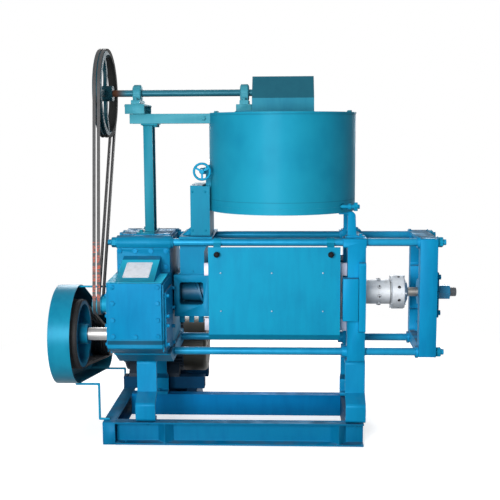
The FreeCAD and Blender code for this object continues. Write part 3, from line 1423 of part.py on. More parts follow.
def input_shaft():
    """Input shaft with its pinion; the bare length outside the gear case shows beside the pulley."""
    line = mesh_phase(lay_y, lay_z, input_y, input_z) + math.pi
    left = motor_pulley_x - motor_pulley_width / 2 + 4
    right = bull_x0 - gear_side_room - 1
    shaft = turned_x([(left, 0), (left, input_r - 2), (left + 2, input_r), (right, input_r), (right, 0)],
                     input_y, input_z)
    pinion = spur_gear(first_module, pinion_teeth, line, first_x0 - 3, first_x0 + first_face + 3, input_y, input_z)
    return union([shaft, pinion])


def input_pulley():
    """Five-groove cast pulley with a dished web and a long hub."""
    x0 = motor_pulley_x - motor_pulley_width / 2
    x1 = motor_pulley_x + motor_pulley_width / 2
    points = pulley_outline(motor_pulley_x, motor_pulley_width, input_pulley_r, 52, input_r + running,
                            (x0 + 34, x0 + 50), x0 + 6, x1 + 24, motor_belt_pitch, motor_belt_count, 24)
    body = turned_x(points, input_y, input_z)
    screws = []
    for turn in (200.0, 290.0):
        screw = bar_z(input_z + 50, input_z + 60, x1 + 12, input_y, 7)
        screws.append(screw.rotate(vec(0, input_y, input_z), vec(1, 0, 0), turn))
    holes = []
    for k in range(5):
        turn = math.radians(72 * k + 20)
        holes.append(bar_x(x0 + 20, x0 + 60, input_y + 102 * math.cos(turn), input_z + 102 * math.sin(turn), 24))
    return union([body.cut(holes)] + screws)


def layshaft():
    """Layshaft with its pinion; the left end carries the kettle pulley."""
    line = mesh_phase(0, press_z, lay_y, lay_z) + math.pi
    left = kettle_pulley_x - kettle_pulley_width / 2
    first0 = first_x0 - gear_side_room - bearing_width - 4
    right = front_x1 + 4
    shaft = turned_x([(left, 0), (left, lay_end_r - 2), (left + 2, lay_end_r), (first0, lay_end_r),
                      (first0, lay_shaft_r), (right, lay_shaft_r), (right, 0)], lay_y, lay_z)
    pinion = spur_gear(final_module, pinion_teeth, line, bull_x0 - 4, bull_x0 + bull_face + 4, lay_y, lay_z)
    return union([shaft, pinion])


def layshaft_gear():
    """First reduction gear, keyed on the layshaft."""
    line = mesh_phase(lay_y, lay_z, input_y, input_z)
    x1 = first_x0 + first_face
    body = spur_gear(first_module, lay_gear_teeth, line + math.pi / lay_gear_teeth, first_x0, x1, lay_y, lay_z)
    recess = [tube_x(a, b, lay_y, lay_z, 132, 54) for a, b in ((first_x0 - 1, first_x0 + 15), (x1 - 15, x1 + 1))]
    return body.cut(recess + [bar_x(first_x0 - 1, x1 + 1, lay_y, lay_z, lay_shaft_r + running)])


def layshaft_pulley():
    """Small two-groove pulley of the kettle drive with its hub and set screw."""
    x0 = kettle_pulley_x - kettle_pulley_width / 2
    x1 = kettle_pulley_x + kettle_pulley_width / 2
    points = [(x0, lay_end_r + running), (x0, small_pulley_r)]
    for x in belt_places(kettle_pulley_x, belt_pitch, 2):
        points += [(x - groove_top / 2, small_pulley_r), (x - groove_bottom / 2, small_pulley_r - groove_depth),
                   (x + groove_bottom / 2, small_pulley_r - groove_depth), (x + groove_top / 2, small_pulley_r)]
    points += [(x1, small_pulley_r), (x1, 42), (x1 + 28, 42, 2), (x1 + 28, lay_end_r + running)]
    body = turned_x(points, lay_y, lay_z)
    screw = bar_z(lay_z + 40, lay_z + 52, x1 + 15, lay_y, 7)
    return union([body, screw.rotate(vec(0, lay_y, lay_z), vec(1, 0, 0), 205)])


def bevel_cone(own, other):
    """Angle of the pitch cone of a bevel gear with its own number of teeth against the other's."""
    return math.atan2(own, other)


def bevel_point(cone, height):
    """Place at the heel of a bevel tooth, a height above the pitch cone, as (radius, z) below the apex."""
    reach = bevel_module * math.hypot(bevel_teeth, bevel_pinion_teeth) / 2
    return (reach * math.sin(cone) + height * math.cos(cone), -reach * math.cos(cone) + height * math.sin(cone))


def bevel_gaps(teeth, cone, phase, thin):
    """Wedges between the teeth of a bevel gear that stands below its apex at the origin."""
    step = math.pi * bevel_module
    rise = bevel_module * 1.3
    sink = bevel_module * 1.15
    wide = step * (0.25 + thin)
    lean = math.tan(math.radians(20))
    corners = [(-wide - rise * lean, rise), (wide + rise * lean, rise), (wide - sink * lean, -sink),
               (-wide + sink * lean, -sink)]
    wires = []
    for factor in (1.08, 0.6):
        ring = []
        for across, height in corners:
            r, z = bevel_point(cone, height)
            ring.append(vec(r, across, z) * factor)
        wires.append(Part.makePolygon(ring + ring[:1]))
    wedge = Part.makeLoft(wires, True, True)
    return [wedge.rotated(vec(0, 0, 0), vec(0, 0, 1), 360.0 * (k + phase) / teeth) for k in range(teeth)]


def toe(point):
    """The same place at the small end of a bevel tooth."""
    reach = bevel_module * math.hypot(bevel_teeth, bevel_pinion_teeth) / 2
    factor = 1 - bevel_face / reach
    return (point[0] * factor, point[1] * factor)


def drive_shaft():
    """Kettle drive shaft with the bevel pinion at its right end."""
    cone = bevel_cone(bevel_pinion_teeth, bevel_teeth)
    tip = bevel_point(cone, 0.8 * bevel_module)
    foot = bevel_point(cone, -1.3 * bevel_module)
    shaft_end = toe(tip)[1] - 10
    points = [(drive_r - 1, foot[1] - 14), (foot[0] - 1, foot[1] - 14), foot, tip, toe(tip), (drive_r + 1, shaft_end),
              (drive_r - 1, shaft_end)]
    pinion = turned_z(points, 0, 0).cut(bevel_gaps(bevel_pinion_teeth, cone, 0.0, pinion_thinning))
    pinion.rotate(vec(0, 0, 0), vec(0, 1, 0), 90)
    pinion.translate(vec(kettle_x, 0, drive_z))
    end = kettle_x + shaft_end + 4
    shaft = turned_x([(drive_left, 0), (drive_left, drive_r - 2), (drive_left + 2, drive_r), (end, drive_r), (end, 0)],
                     0, drive_z)
    return union([shaft, pinion])


def bevel_gear():
    """Crown bevel gear on top of the stirrer shaft."""
    cone = bevel_cone(bevel_teeth, bevel_pinion_teeth)
    tip = bevel_point(cone, 0.8 * bevel_module)
    back = bevel_point(cone, -2.8 * bevel_module)
    hub = stirrer_r + 22
    web = back[1] + 12
    bore = stirrer_r + running
    points = [(bore, back[1] - 8), (hub, back[1] - 8), (hub, back[1]), back, tip, toe(tip), (toe(tip)[0] - 2, web),
              (hub, web), (hub, web + 10), (bore, web + 10)]
    gear = turned_z(points, 0, 0).cut(bevel_gaps(bevel_teeth, cone, 0.5, crown_thinning))
    gear.translate(vec(kettle_x, 0, drive_z))
    return gear


def stirrer():
    """Vertical stirrer shaft with two swept arms over the pan and two cross arms above them."""
    top = bevel_z + 4
    shaft = turned_z([(0, pan_top - 25), (stirrer_r, pan_top - 25), (stirrer_r, top), (0, top)], kettle_x, 0)
    pieces = [shaft]
    sweep = bar_z(pan_top + 4, pan_top + 64, kettle_x, 0, 40)
    pieces.append(sweep)
    for turn in (0, 180):
        arm = plate_z([(kettle_x + 10, -14), (kettle_x + stirrer_arm, -50, 8), (kettle_x + stirrer_arm, -36, 4),
                       (kettle_x + 10, 14)], pan_top + 6, pan_top + 40)
        pieces.append(arm.rotate(vec(kettle_x, 0, 0), vec(0, 0, 1), turn + 90))
        rod = bar_x(kettle_x + 10, kettle_x + stirrer_arm - 20, 0, pan_top + 200, 14)
        pieces.append(rod.rotate(vec(kettle_x, 0, 0), vec(0, 0, 1), turn))
    return union(pieces)


def top_pulley():
    """Large two-groove pulley of the kettle drive with four curved arms."""
    x0 = kettle_pulley_x - kettle_pulley_width / 2
    x1 = kettle_pulley_x + kettle_pulley_width / 2
    r = top_pulley_r
    points = [(x0, r - 28), (x0, r)]
    for x in belt_places(kettle_pulley_x, belt_pitch, 2):
        points += [(x - groove_top / 2, r), (x - groove_bottom / 2, r - groove_depth),
                   (x + groove_bottom / 2, r - groove_depth), (x + groove_top / 2, r)]
    points += [(x1, r), (x1, r - 28), (kettle_pulley_x + 8, r - 32), (kettle_pulley_x - 8, r - 32)]
    rim = turned_x(points, 0, drive_z)
    hub = bar_x(x0 + 2, x1 + 18, 0, drive_z, 40)
    side = kettle_pulley_x - pulley_arm_width / 2
    low = drive_z + 30
    high = drive_z + r - 26
    middle = (low + high) / 2
    half = pulley_arm_depth / 2
    corners = [vec(side, -half - 4, low), vec(side, 2 - half, high), vec(side, half - 2, high),
               vec(side, half + 4, low)]
    near = Part.Arc(corners[0], vec(side, pulley_arm_bow - half, middle), corners[1]).toShape()
    far = Part.Arc(corners[2], vec(side, pulley_arm_bow + half, middle), corners[3]).toShape()
    outer_end = Part.makeLine(corners[1], corners[2])
    inner_end = Part.makeLine(corners[3], corners[0])
    section = Part.Face(Part.Wire([near, outer_end, far, inner_end]))
    arms = []
    for k in range(pulley_arms):
        arm = section.extrude(vec(pulley_arm_width, 0, 0))
        arms.append(arm.rotate(vec(0, 0, drive_z), vec(1, 0, 0), 360.0 * k / pulley_arms + 12))
    body = union([rim, hub] + arms)
    return body.cut(bar_x(x0 - 1, x1 + 30, 0, drive_z, drive_r + running))


def motor_rotor():
    """Motor shaft with the five-groove motor pulley."""
    x0 = motor_pulley_x - motor_pulley_width / 2
    x1 = motor_pulley_x + motor_pulley_width / 2
    bore = motor_shaft_r
    shaft = turned_x([(x0 + 36, 0), (x0 + 36, bore), (motor_shield_left, bore), (motor_shield_left, bore + 9),
                      (motor_x1 + 30, bore + 9), (motor_x1 + 30, 14), (motor_cover_right - 22, 14),
                      (motor_cover_right - 22, 0)], motor_y, motor_z)
    core = bar_x(motor_x0 + 30, motor_x1 - 30, motor_y, motor_z, motor_core_r - 26)
    fan = []
    for k in range(6):
        blade = block(motor_x1 + 52, motor_x1 + 100, motor_y - 2, motor_y + 2, motor_z + 20, motor_z + motor_fin_r - 22)
        fan.append(blade.rotate(vec(0, motor_y, motor_z), vec(1, 0, 0), 60 * k))
    disc = tube_x(motor_x1 + 48, motor_x1 + 53, motor_y, motor_z, motor_fin_r - 30, 13)
    points = [(x0, motor_pulley_r - 28), (x0, motor_pulley_r)]
    for x in belt_places(motor_pulley_x, motor_belt_pitch, motor_belt_count):
        points += [(x - groove_top / 2, motor_pulley_r), (x - groove_bottom / 2, motor_pulley_r - groove_depth),
                   (x + groove_bottom / 2, motor_pulley_r - groove_depth), (x + groove_top / 2, motor_pulley_r)]
    points += [(x1, motor_pulley_r), (x1, bore + running), (x0 + 34, bore + running), (x0 + 34, motor_pulley_r - 28)]
    pulley = turned_x(points, motor_y, motor_z)
    return group([union([shaft, core, disc] + fan), pulley])


def discharge_gate():
    """Sliding gate over the kettle outlet with the rack that lifts it."""
    plate = block(gate_x0, gate_x0 + gate_plate, -gate_half, gate_half, gate_z0, gate_z1)
    pitch = math.pi * rack_module
    line = wheel_x + rack_module * rack_teeth / 2
    root = line + 1.25 * rack_module - 0.1
    strip = block(root, gate_x0 + gate_plate, -rack_half, rack_half, rack_z0, rack_z1)
    teeth = []
    count = int((rack_z1 - rack_z0 - 6) / pitch)
    first = wheel_z - pitch * math.floor((wheel_z - rack_z0 - 6) / pitch) + pitch / 2
    for k in range(count):
        z = first + pitch * k
        if z + 2.4 > rack_z1:
            break
        teeth.append(plate_y([(root + 0.5, z - 1.9), (line - 0.8 * rack_module, z - 0.7),
                              (line - 0.8 * rack_module, z + 0.7), (root + 0.5, z + 1.9)], -rack_half, rack_half))
    return union([plate, strip] + teeth)


def handwheel():
    """Three-spoke handwheel, its shaft and the rack pinion."""
    shaft = bar_y(wheel_y - 4, 14, wheel_x, wheel_z, wheel_shaft_r)
    rim = Part.makeTorus(wheel_r - wheel_rim, wheel_rim, vec(wheel_x, wheel_y + 4, wheel_z), vec(0, 1, 0))
    hub = turned_y([(wheel_y - 6, 0), (wheel_y - 6, 11, 2), (wheel_y + 16, 13), (wheel_y + 16, 0)], wheel_x, wheel_z)
    spokes = []
    for k in range(3):
        spoke = plate_y([(wheel_x - 5, wheel_z - wheel_r + wheel_rim), (wheel_x + 5, wheel_z - wheel_r + wheel_rim),
                         (wheel_x + 5, wheel_z), (wheel_x - 5, wheel_z)], wheel_y, wheel_y + 8)
        spokes.append(spoke.rotate(vec(wheel_x, 0, wheel_z), vec(0, 1, 0), 120 * k))
    pitch_r = rack_module * rack_teeth / 2
    points = []
    for k in range(rack_teeth):
        middle = 2 * math.pi * k / rack_teeth
        step = 2 * math.pi / rack_teeth
        for offset, radius in ((-0.29, pitch_r - 1.25 * rack_module), (-0.21, pitch_r),
                               (-0.10, pitch_r + 0.8 * rack_module), (0.10, pitch_r + 0.8 * rack_module),
                               (0.21, pitch_r), (0.29, pitch_r - 1.25 * rack_module)):
            points.append((wheel_x + radius * math.cos(middle + offset * step),
                           wheel_z + radius * math.sin(middle + offset * step)))
    pinion = plate_y(points, -rack_half + 1, rack_half - 1)
    return union([shaft, rim, hub, pinion] + spokes)


def guard_panel():
    """Front guard: bent sheet panel, two straps that hook over the rod, and two ball knobs."""
    path = [(panel_y + panel_lip * 0.7 + panel_sheet, panel_z0 - panel_lip), (panel_y, panel_z0), (panel_y, panel_z1)]
    sheet_points = strip_outline(path[::-1], panel_sheet, 2)
    panel = plate_x(sheet_points, panel_x0, panel_x1)
    holes = [bar_y(panel_y - 1, panel_y + 5, x, z, 3) for x in (panel_x0 + 63, panel_x0 + 323, panel_x1 - 88)
             for z in (892, 695)]
    panel = panel.cut(holes)
    pieces = [panel]
    back = panel_y + panel_sheet
    inner = rod_r + gap
    outer = inner + hook_sheet
    for x in hook_x:
        x0 = x - hook_width / 2
        x1 = x + hook_width / 2
        hook = tube_x(x0, x1, -rod_y, rod_top_z, outer, inner)
        hook = hook.cut(block(x0 - 1, x1 + 1, -rod_y - 60, -rod_y + 60, rod_top_z - 60, rod_top_z - 2))
        tab = plate_x([(back - 0.5, 982), (back + hook_sheet, 982), (back + hook_sheet, rod_top_z - 28),
                       (-rod_y - inner, rod_top_z - 2), (-rod_y - inner, rod_top_z), (-rod_y - outer, rod_top_z),
                       (back - 0.5, rod_top_z - 24)], x0, x1)
        stem = bar_y(panel_y - 8, panel_y + 1, x, knob_z, 5)
        ball = Part.makeSphere(knob_r, vec(x, panel_y - 8 - knob_r + 3, knob_z))
        pieces += [hook, tab, stem, ball]
    return union(pieces)


def save(name, shape):
    shape.exportStep("parts/" + name + ".step")
    print(name, len(shape.Solids), round(shape.Volume), shape.isValid())


def build():
    front_channel = base_channel()
    front_cage = cage_half()
    save("base_front_channel", front_channel)
    save("base_rear_channel", mirrored(front_channel))
    save("base_left_rail", base_left_rail())
    save("base_cross_members", base_cross_members())
    save("motor_cross_bars", motor_cross_bars())
    save("gearbox_legs", leg_pair(gear_leg_x))
    save("head_legs", leg_pair(head_leg_x))
    save("frame_bolts", frame_bolts())
    save("gearbox_housing", gearbox_housing())
    save("gearbox_front_case", gearbox_front_case())
    save("gearbox_covers", gearbox_covers())
    save("gear_bearings", gear_bearings())
    save("tie_rods", tie_rods())
    save("tie_rod_nuts", tie_rod_nuts())
    save("press_head", press_head())
    save("end_yoke", end_yoke())
    save("thrust_housing", thrust_housing())
    save("feed_housing", feed_housing())
    save("feed_hopper", feed_hopper())
    save("feed_table", feed_table())
    save("upper_chute", upper_chute())
    save("cage_front_half", front_cage)
    save("cage_rear_half", mirrored(front_cage))
    save("cage_bars", cage_bars())
    save("kettle_shell", kettle_shell())
    save("kettle_pan", kettle_pan())
    save("kettle_posts", kettle_posts())
    save("kettle_bridge", kettle_bridge())
    save("gear_hood", gear_hood())
    save("drive_beam", drive_beam())
    save("drive_post", drive_post())
    save("shaft_bearings", shaft_bearings())
    save("stirrer_bearing", stirrer_bearing())
    save("gate_guides", gate_guides())
    save("steam_inlet", steam_inlet())
    save("kettle_belts", kettle_belts())
    save("motor_belts", motor_belts())
    save("belt_guard", belt_guard())
    save("guard_brackets", guard_brackets())
    save("motor_body", motor_body())
    save("motor_end_shields", motor_end_shields())
    save("motor_fan_cover", motor_fan_cover())
    save("worm_shaft", worm_shaft())
    save("worm_sections", worm_sections())
    save("bull_gear", bull_gear())
    save("choke_cone", choke_cone())
    save("choke_ring", choke_ring())
    save("input_shaft", input_shaft())
    save("input_pulley", input_pulley())
    save("layshaft", layshaft())
    save("layshaft_gear", layshaft_gear())
    save("layshaft_pulley", layshaft_pulley())
    save("drive_shaft", drive_shaft())
    save("top_pulley", top_pulley())
    save("bevel_gear", bevel_gear())
    save("stirrer", stirrer())
    save("motor_rotor", motor_rotor())
    save("discharge_gate", discharge_gate())
    save("handwheel", handwheel())
    save("guard_panel", guard_panel())


os.makedirs("parts", exist_ok=True)
build()
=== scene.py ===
import math

import bmesh
import bpy
from mathutils import Matrix, Vector


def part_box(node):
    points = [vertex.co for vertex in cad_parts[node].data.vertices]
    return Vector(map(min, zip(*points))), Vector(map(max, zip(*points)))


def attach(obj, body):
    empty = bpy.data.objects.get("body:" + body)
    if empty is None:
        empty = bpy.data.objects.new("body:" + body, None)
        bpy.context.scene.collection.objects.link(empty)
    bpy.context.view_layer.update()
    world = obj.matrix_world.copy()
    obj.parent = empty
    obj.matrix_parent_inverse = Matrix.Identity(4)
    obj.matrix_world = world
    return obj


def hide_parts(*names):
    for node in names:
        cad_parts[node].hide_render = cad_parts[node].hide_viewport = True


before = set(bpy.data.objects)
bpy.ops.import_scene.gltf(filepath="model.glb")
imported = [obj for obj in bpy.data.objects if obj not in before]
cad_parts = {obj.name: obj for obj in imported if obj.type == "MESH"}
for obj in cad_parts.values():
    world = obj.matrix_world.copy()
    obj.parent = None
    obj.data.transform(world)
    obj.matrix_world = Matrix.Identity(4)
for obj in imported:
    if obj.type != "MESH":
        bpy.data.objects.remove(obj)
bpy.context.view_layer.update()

# Places and sizes that the dressing takes from the press, in metres
PRESS_Z = 0.758
TIE_ROD_Y = 0.165
TIE_ROD_RISE = 0.285
ROD_PLACES = [(y, PRESS_Z + z) for y in (-TIE_ROD_Y, TIE_ROD_Y) for z in (-TIE_ROD_RISE, TIE_ROD_RISE)]
ROD_ENDS = (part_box("tie_rods")[0].x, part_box("tie_rods")[1].x)
NUT_FACES = (-0.592, 1.041)
KETTLE_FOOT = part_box("kettle_shell")[0].z
KETTLE_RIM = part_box("kettle_shell")[1].z
KNOB_RADIUS = 0.015
KNOB_X = (-0.076, 0.501)
KNOB_Z = 0.988
PANEL_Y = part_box("guard_panel")[0].y + 0.030
PANEL_SCREW_X = (-0.058, 0.202, 0.462)
PANEL_SCREW_Z = (0.892, 0.695)
CHUTE_RIVET_X = (-0.206, -0.140)
CHUTE_RIVET_Z = (1.30, 1.10)
FEED_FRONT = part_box("feed_housing")[0].y
FEED_REAR = 0.130
# On the feed side of this place along X the worm is coloured dark blue
WORM_BLUE_END = -0.125
INPUT_AXIS = (-0.2005, 0.569)
INPUT_RIM = (0.172, 0.190)
DRIVE_AXIS = (-0.050, 1.804)
TOP_RIM = (0.214, 0.300)
SHAFT_RUST_END = -0.580
THRUST_NUT = (1.062, 1.1385)
CHOKE_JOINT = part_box("choke_ring")[0].x
CHOKE_SCREWS = (0.765, 12.0)  # along the worm, and the first one's turn in degrees
BAR_HOLES = (0.866, 20.0)
CASE_FRONT = -0.497
CASE_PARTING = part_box("gearbox_front_case")[1].y
CASE_MIDDLE = -0.452
COVER_LEDGE = 0.5935
NOSE_FOOT = 0.888
NOSE_REAR = -0.250
SLOPE_LOW, SLOPE_HIGH = Vector((-0.551, -0.489, 0.886)), Vector((-0.362, NOSE_REAR, 0.967))
BELT_PRINT = (0.77, 1.07, 0.048, -0.29)  # lowest, highest, pitch, and the y that parts the front run from the rear one

# Colours of dirt and wear, and of painted shade
DUST = (0.10, 0.12, 0.14)
PRIMER = (0.11, 0.080, 0.065)
RUST = (0.17, 0.085, 0.045)
SOOT = (0.22, 0.21, 0.20)
SHADE = (0.16, 0.17, 0.18)
# Dark colour for the choke's joint, and for painted shade in its screw sockets and bar holes
JOINT_AND_SHADE_DARK = (0.06, 0.06, 0.065)
RUBBED_IRON = (0.42, 0.42, 0.41)

# Enamel: the weight of its clear coat, and the share of metallic sheen
COAT = 0.02
SHEEN = 0.12

SMOOTH_BELOW = 34.0  # degrees; sharper edges are rounded or stay sharp
SAME_POINT = 2e-5
EIGHTH = math.radians(45.0)
FRONTWARD = (0.0, -1.0, 0.0)

finishes = {}


class Flow:
    """A value on its way through a material's nodes, so that shader maths reads as plain expressions."""

    def __init__(self, material, socket):
        self.material = material
        self.socket = socket

    def _maths(self, operation, *values):
        return self.material.node("ShaderNodeMath", {"operation": operation}, *values)

    def __add__(self, other):
        return self._maths("ADD", self, other)

    def __radd__(self, other):
        return self._maths("ADD", other, self)

    def __sub__(self, other):
        return self._maths("SUBTRACT", self, other)

    def __rsub__(self, other):
        return self._maths("SUBTRACT", other, self)

    def __mul__(self, other):
        return self._maths("MULTIPLY", self, other)

    def __rmul__(self, other):
        return self._maths("MULTIPLY", other, self)

    def __truediv__(self, other):
        return self._maths("DIVIDE", self, other)

    def power(self, exponent):
        return self._maths("POWER", self, exponent)

    def size(self):
        return self._maths("ABSOLUTE", self)

    def fraction(self):
        return self._maths("FRACT", self)

    def clamped(self):
        return self.material.node("ShaderNodeClamp", {}, self)

    def between(self, low, high):
        """0 at low, 1 at high, smooth in between."""
        return self.material.node("ShaderNodeMapRange", {"interpolation_type": "SMOOTHSTEP"}, self, low, high, 0.0, 1.0)


class Finish:
    """One procedural material, kept in finishes; every pattern in it reads Object coordinates, in metres."""

    def __init__(self, name, color, roughness, metallic=0.0, coat=0.0, coat_roughness=0.1):
        self.material = bpy.data.materials.new(name)
        self.material.use_nodes = True
        self.tree = self.material.node_tree
        self.shader = self.tree.nodes["Principled BSDF"]
        self.shader.inputs["Base Color"].default_value = (*color, 1.0)
        self.shader.inputs["Roughness"].default_value = roughness
        self.shader.inputs["Metallic"].default_value = metallic
        self.shader.inputs["Coat Weight"].default_value = coat
        self.shader.inputs["Coat Roughness"].default_value = coat_roughness
        self.material.diffuse_color = (*color, 1.0)
        finishes[name] = self.material
        self.place = self.node("ShaderNodeTexCoord", {}, output="Object")

    def node(self, kind, settings, *values, output=0, **named):
        """Any node: its settings first, then values or flows for its sockets by order or by name."""
        made = self.tree.nodes.new(kind)
        for key, value in settings.items():
            setattr(made, key, value)
        pairs = list(zip(made.inputs, values)) + [(made.inputs[key.replace("_", " ")], v) for key, v in named.items()]
        for socket, value in pairs:
            if value is None:
                continue
            if isinstance(value, Flow):
                self.tree.links.new(value.socket, socket)
            elif hasattr(value, "__len__") and len(value) == 3 and len(getattr(socket, "default_value", [])) == 4:
                socket.default_value = (*value, 1.0)
            else:
                socket.default_value = value
        return Flow(self, made.outputs[output])

    def stretched(self, scale):
        """Object coordinates scaled along each axis."""
        return self.node("ShaderNodeVectorMath", {"operation": "MULTIPLY"}, self.place, scale)

    def noise(self, scale, detail=3.0, roughness=0.5, where=None):
        return self.node("ShaderNodeTexNoise", {}, Vector=where or self.place, Scale=scale, Detail=detail,
                         Roughness=roughness, output="Fac")

    def axis(self, letter):
        return self.node("ShaderNodeSeparateXYZ", {}, self.place, output=letter)

    def facing(self, letter):
        """The part of the surface normal along one axis."""
        normal = self.node("ShaderNodeNewGeometry", {}, output="Normal")
        return self.node("ShaderNodeSeparateXYZ", {}, normal, output=letter)

    def edge(self, radius):
        """About 1 on edges and corners, 0 on flat stretches."""
        rounded = self.node("ShaderNodeBevel", {"samples": 4}, Radius=radius)
        plain = self.node("ShaderNodeNewGeometry", {}, output="Normal")
        along = self.node("ShaderNodeVectorMath", {"operation": "DOT_PRODUCT"}, rounded, plain, output="Value")
        return (1.0 - along).between(0.02, 0.16)

    def mix(self, factor, first, second):
        """Two colours mixed by a factor."""
        made = self.tree.nodes.new("ShaderNodeMix")
        made.data_type = "RGBA"
        for socket, value in ((made.inputs[0], factor), (made.inputs[6], first), (made.inputs[7], second)):
            if isinstance(value, Flow):
                self.tree.links.new(value.socket, socket)
            elif hasattr(value, "__len__"):
                socket.default_value = (*value, 1.0)
            else:
                socket.default_value = value
        return Flow(self, made.outputs[2])

    def feed(self, name, flow):
        self.tree.links.new(flow.socket, self.shader.inputs[name])

    def bump(self, height, distance, strength=1.0):
        made = self.node("ShaderNodeBump", {}, Strength=strength, Distance=distance, Height=height)
        self.feed("Normal", made)


def enamel(name, color, dust=0.2, peel=0.00016, gloss=0.48, cast=0.0, painted_shade_and_joint=None, marks=None, brushed=0.4,
           sheen_level=None, dents=0.0):
    """Glossy machine enamel: brushed-on unevenness, orange peel, thin dust on tops, rubbed edges, and painted shade on
    faces that look down.

    The shade mask marks painted shade, darkening the paint, and on the gear case also a dark gasket joint; marks is a
    list of (mask, colour, added roughness), and dents says how much the sheet under the paint waves."""
    sheen_level = sheen_level or SHEEN
    f = Finish(name, color, gloss, metallic=sheen_level, coat=COAT, coat_roughness=0.24)
    f.shader.inputs["Specular IOR Level"].default_value = 0.08
    deep = tuple(c * k for c, k in zip(color, (0.55, 0.80, 0.86)))
    pale = tuple(min(1.0, c * k + a) for c, k, a in zip(color, (1.0, 1.10, 1.06), (0.030, 0.030, 0.020)))
    cloud = f.noise(2.6, 4.0, 0.55)
    streak = f.noise(1.0, 3.0, 0.6, f.stretched((30.0, 30.0, 5.0)))
    grain = f.noise(210.0, 2.0, 0.5)
    shade = (cloud * (1.0 - brushed) + streak * brushed).between(0.32, 0.60)
    paint = f.mix(shade, deep, color)
    rubbed = f.edge(0.0022) * f.noise(45.0, 4.0, 0.7).between(0.42, 0.64)
    paint = f.mix(rubbed * 0.60, paint, pale)
    chip = rubbed * f.noise(130.0, 3.0, 0.6).between(0.62, 0.69)
    paint = f.mix(chip * 0.85, paint, PRIMER)
    settled = f.facing("Z").between(0.60, 0.98) * f.noise(9.0, 5.0, 0.65).between(0.36, 0.66)
    paint = f.mix(settled * dust, paint, DUST)
    # Painted shade: faces that look down are darkened towards a quarter of the paint colour.
    underside_painted_shade = f.facing("Z").between(-0.35, -0.95)
    paint = f.mix(underside_painted_shade * 0.6, paint, tuple(c * 0.25 for c in color))
    # Painted shade from the shade mask, darkening towards about a fifth of the paint colour; on the gear case it also
    # draws a dark gasket joint.
    if painted_shade_and_joint:
        paint = f.mix(painted_shade_and_joint(f), paint, tuple(c * 0.22 for c in color))
    rough = gloss + streak * 0.10 + settled * dust + chip * 0.4
    coat = COAT - settled * COAT - chip
    sheen = sheen_level - settled * dust - chip
    for mask, tint, extra in marks or ():
        cover = mask(f)
        paint = f.mix(cover, paint, tint)
        rough = rough + cover * extra
        coat = coat - cover * COAT
        sheen = sheen - cover * sheen_level
    f.feed("Base Color", paint)
    f.feed("Roughness", rough.clamped())
    f.feed("Coat Weight", coat.clamped())
    f.feed("Metallic", sheen.clamped())
    height = f.noise(95.0, 3.0, 0.5) * 0.5 + streak * 0.5 + grain * (0.25 + cast)
    if cast:
        height = height + f.noise(34.0, 4.0, 0.6) * cast * 2.0
    if dents:
        height = height + f.noise(5.0, 2.0, 0.5) * dents
    f.bump(height, peel * (1.0 + 2.0 * cast), 0.8)


def near(letter, place, reach):
    """Mask: 1 within reach of a place along one axis."""
    return lambda f: 1.0 - (f.axis(letter) - place).size().between(reach * 0.75, reach)


def within(far, low, high, soft):
    """1 where a flow lies between low and high."""
    return far.between(low - soft, low + soft) * (1.0 - far.between(high - soft, high + soft))


def ring_mask(middle, low, high):
    """Mask: 1 where the distance from a line along X through middle lies between low and high."""
    def mask(f):
        a = (f.axis("Y") - middle[0]).power(2.0)
        b = (f.axis("Z") - middle[1]).power(2.0)
        return within((a + b).power(0.5), low, high, 0.002)
    return mask


def both(*masks):
    """Mask: where all the masks are."""
    def mask(f):
        product = masks[0](f)
        for other in masks[1:]:
            product = product * other(f)
        return product
    return mask


def ahead_of(letter, place, soft, sign=1.0):
    """Mask: 1 on the far side of a place along one axis, or on the near side with sign -1."""
    return lambda f: f.axis(letter).between(place - sign * soft, place + sign * soft)


def bare_steel(name, color, roughness, along, rust=0.0, marks=None):
    """Machined or rolled steel with fine lines across X or Z, and a little brown where it has stood."""
    f = Finish(name, color, roughness, metallic=1.0)
    lines = f.noise(1.0, 3.0, 0.7, f.stretched({"X": (500.0, 6.0, 6.0), "Z": (6.0, 6.0, 500.0)}[along]))
    blot = f.noise(14.0, 5.0, 0.65)
    spots = blot.between(0.62 - rust * 0.25, 0.80 - rust * 0.2)
    metal = f.mix(lines, tuple(c * 0.72 for c in color), tuple(min(1.0, c * 1.12) for c in color))
    metal = f.mix(spots * (0.25 + rust), metal, RUST)
    bare = 1.0 - spots * (0.3 + rust * 0.6)
    for mask, tint in marks or ():
        cover = mask(f)
        metal = f.mix(cover, metal, tint)
        bare = bare * (1.0 - cover)
    f.feed("Base Color", metal)
    f.feed("Metallic", bare)
    f.feed("Roughness", (roughness + lines * 0.16 + spots * 0.35).clamped())
    f.bump(lines, 0.00012, 0.5)


def silver_paint(name, color, grain_size, joint_and_shade=None):
    """Aluminium paint over a rough casting, with soot in its hollows and painted shade underneath."""
    f = Finish(name, color, 0.50, metallic=0.35)
    lumps = f.noise(grain_size, 4.0, 0.6)
    dirt = f.noise(22.0, 5.0, 0.7).between(0.48, 0.78)
    paint = f.mix(lumps, tuple(c * 0.80 for c in color), tuple(min(1.0, c * 1.10) for c in color))
    paint = f.mix(dirt * 0.35, paint, SOOT)
    # Painted shade: faces that look down darken towards the shade colour.
    paint = f.mix(f.facing("Z").between(0.1, -0.9) * 0.65, paint, SHADE)
    # The optional mask darkens a joint and paints shade into hollows.
    if joint_and_shade:
        paint = f.mix(joint_and_shade(f), paint, JOINT_AND_SHADE_DARK)
    f.feed("Base Color", paint)
    f.feed("Roughness", (0.42 + lumps * 0.2 + dirt * 0.2).clamped())
    f.feed("Metallic", 0.35 - dirt * 0.2)
    f.bump(lumps, 0.0006, 0.7)


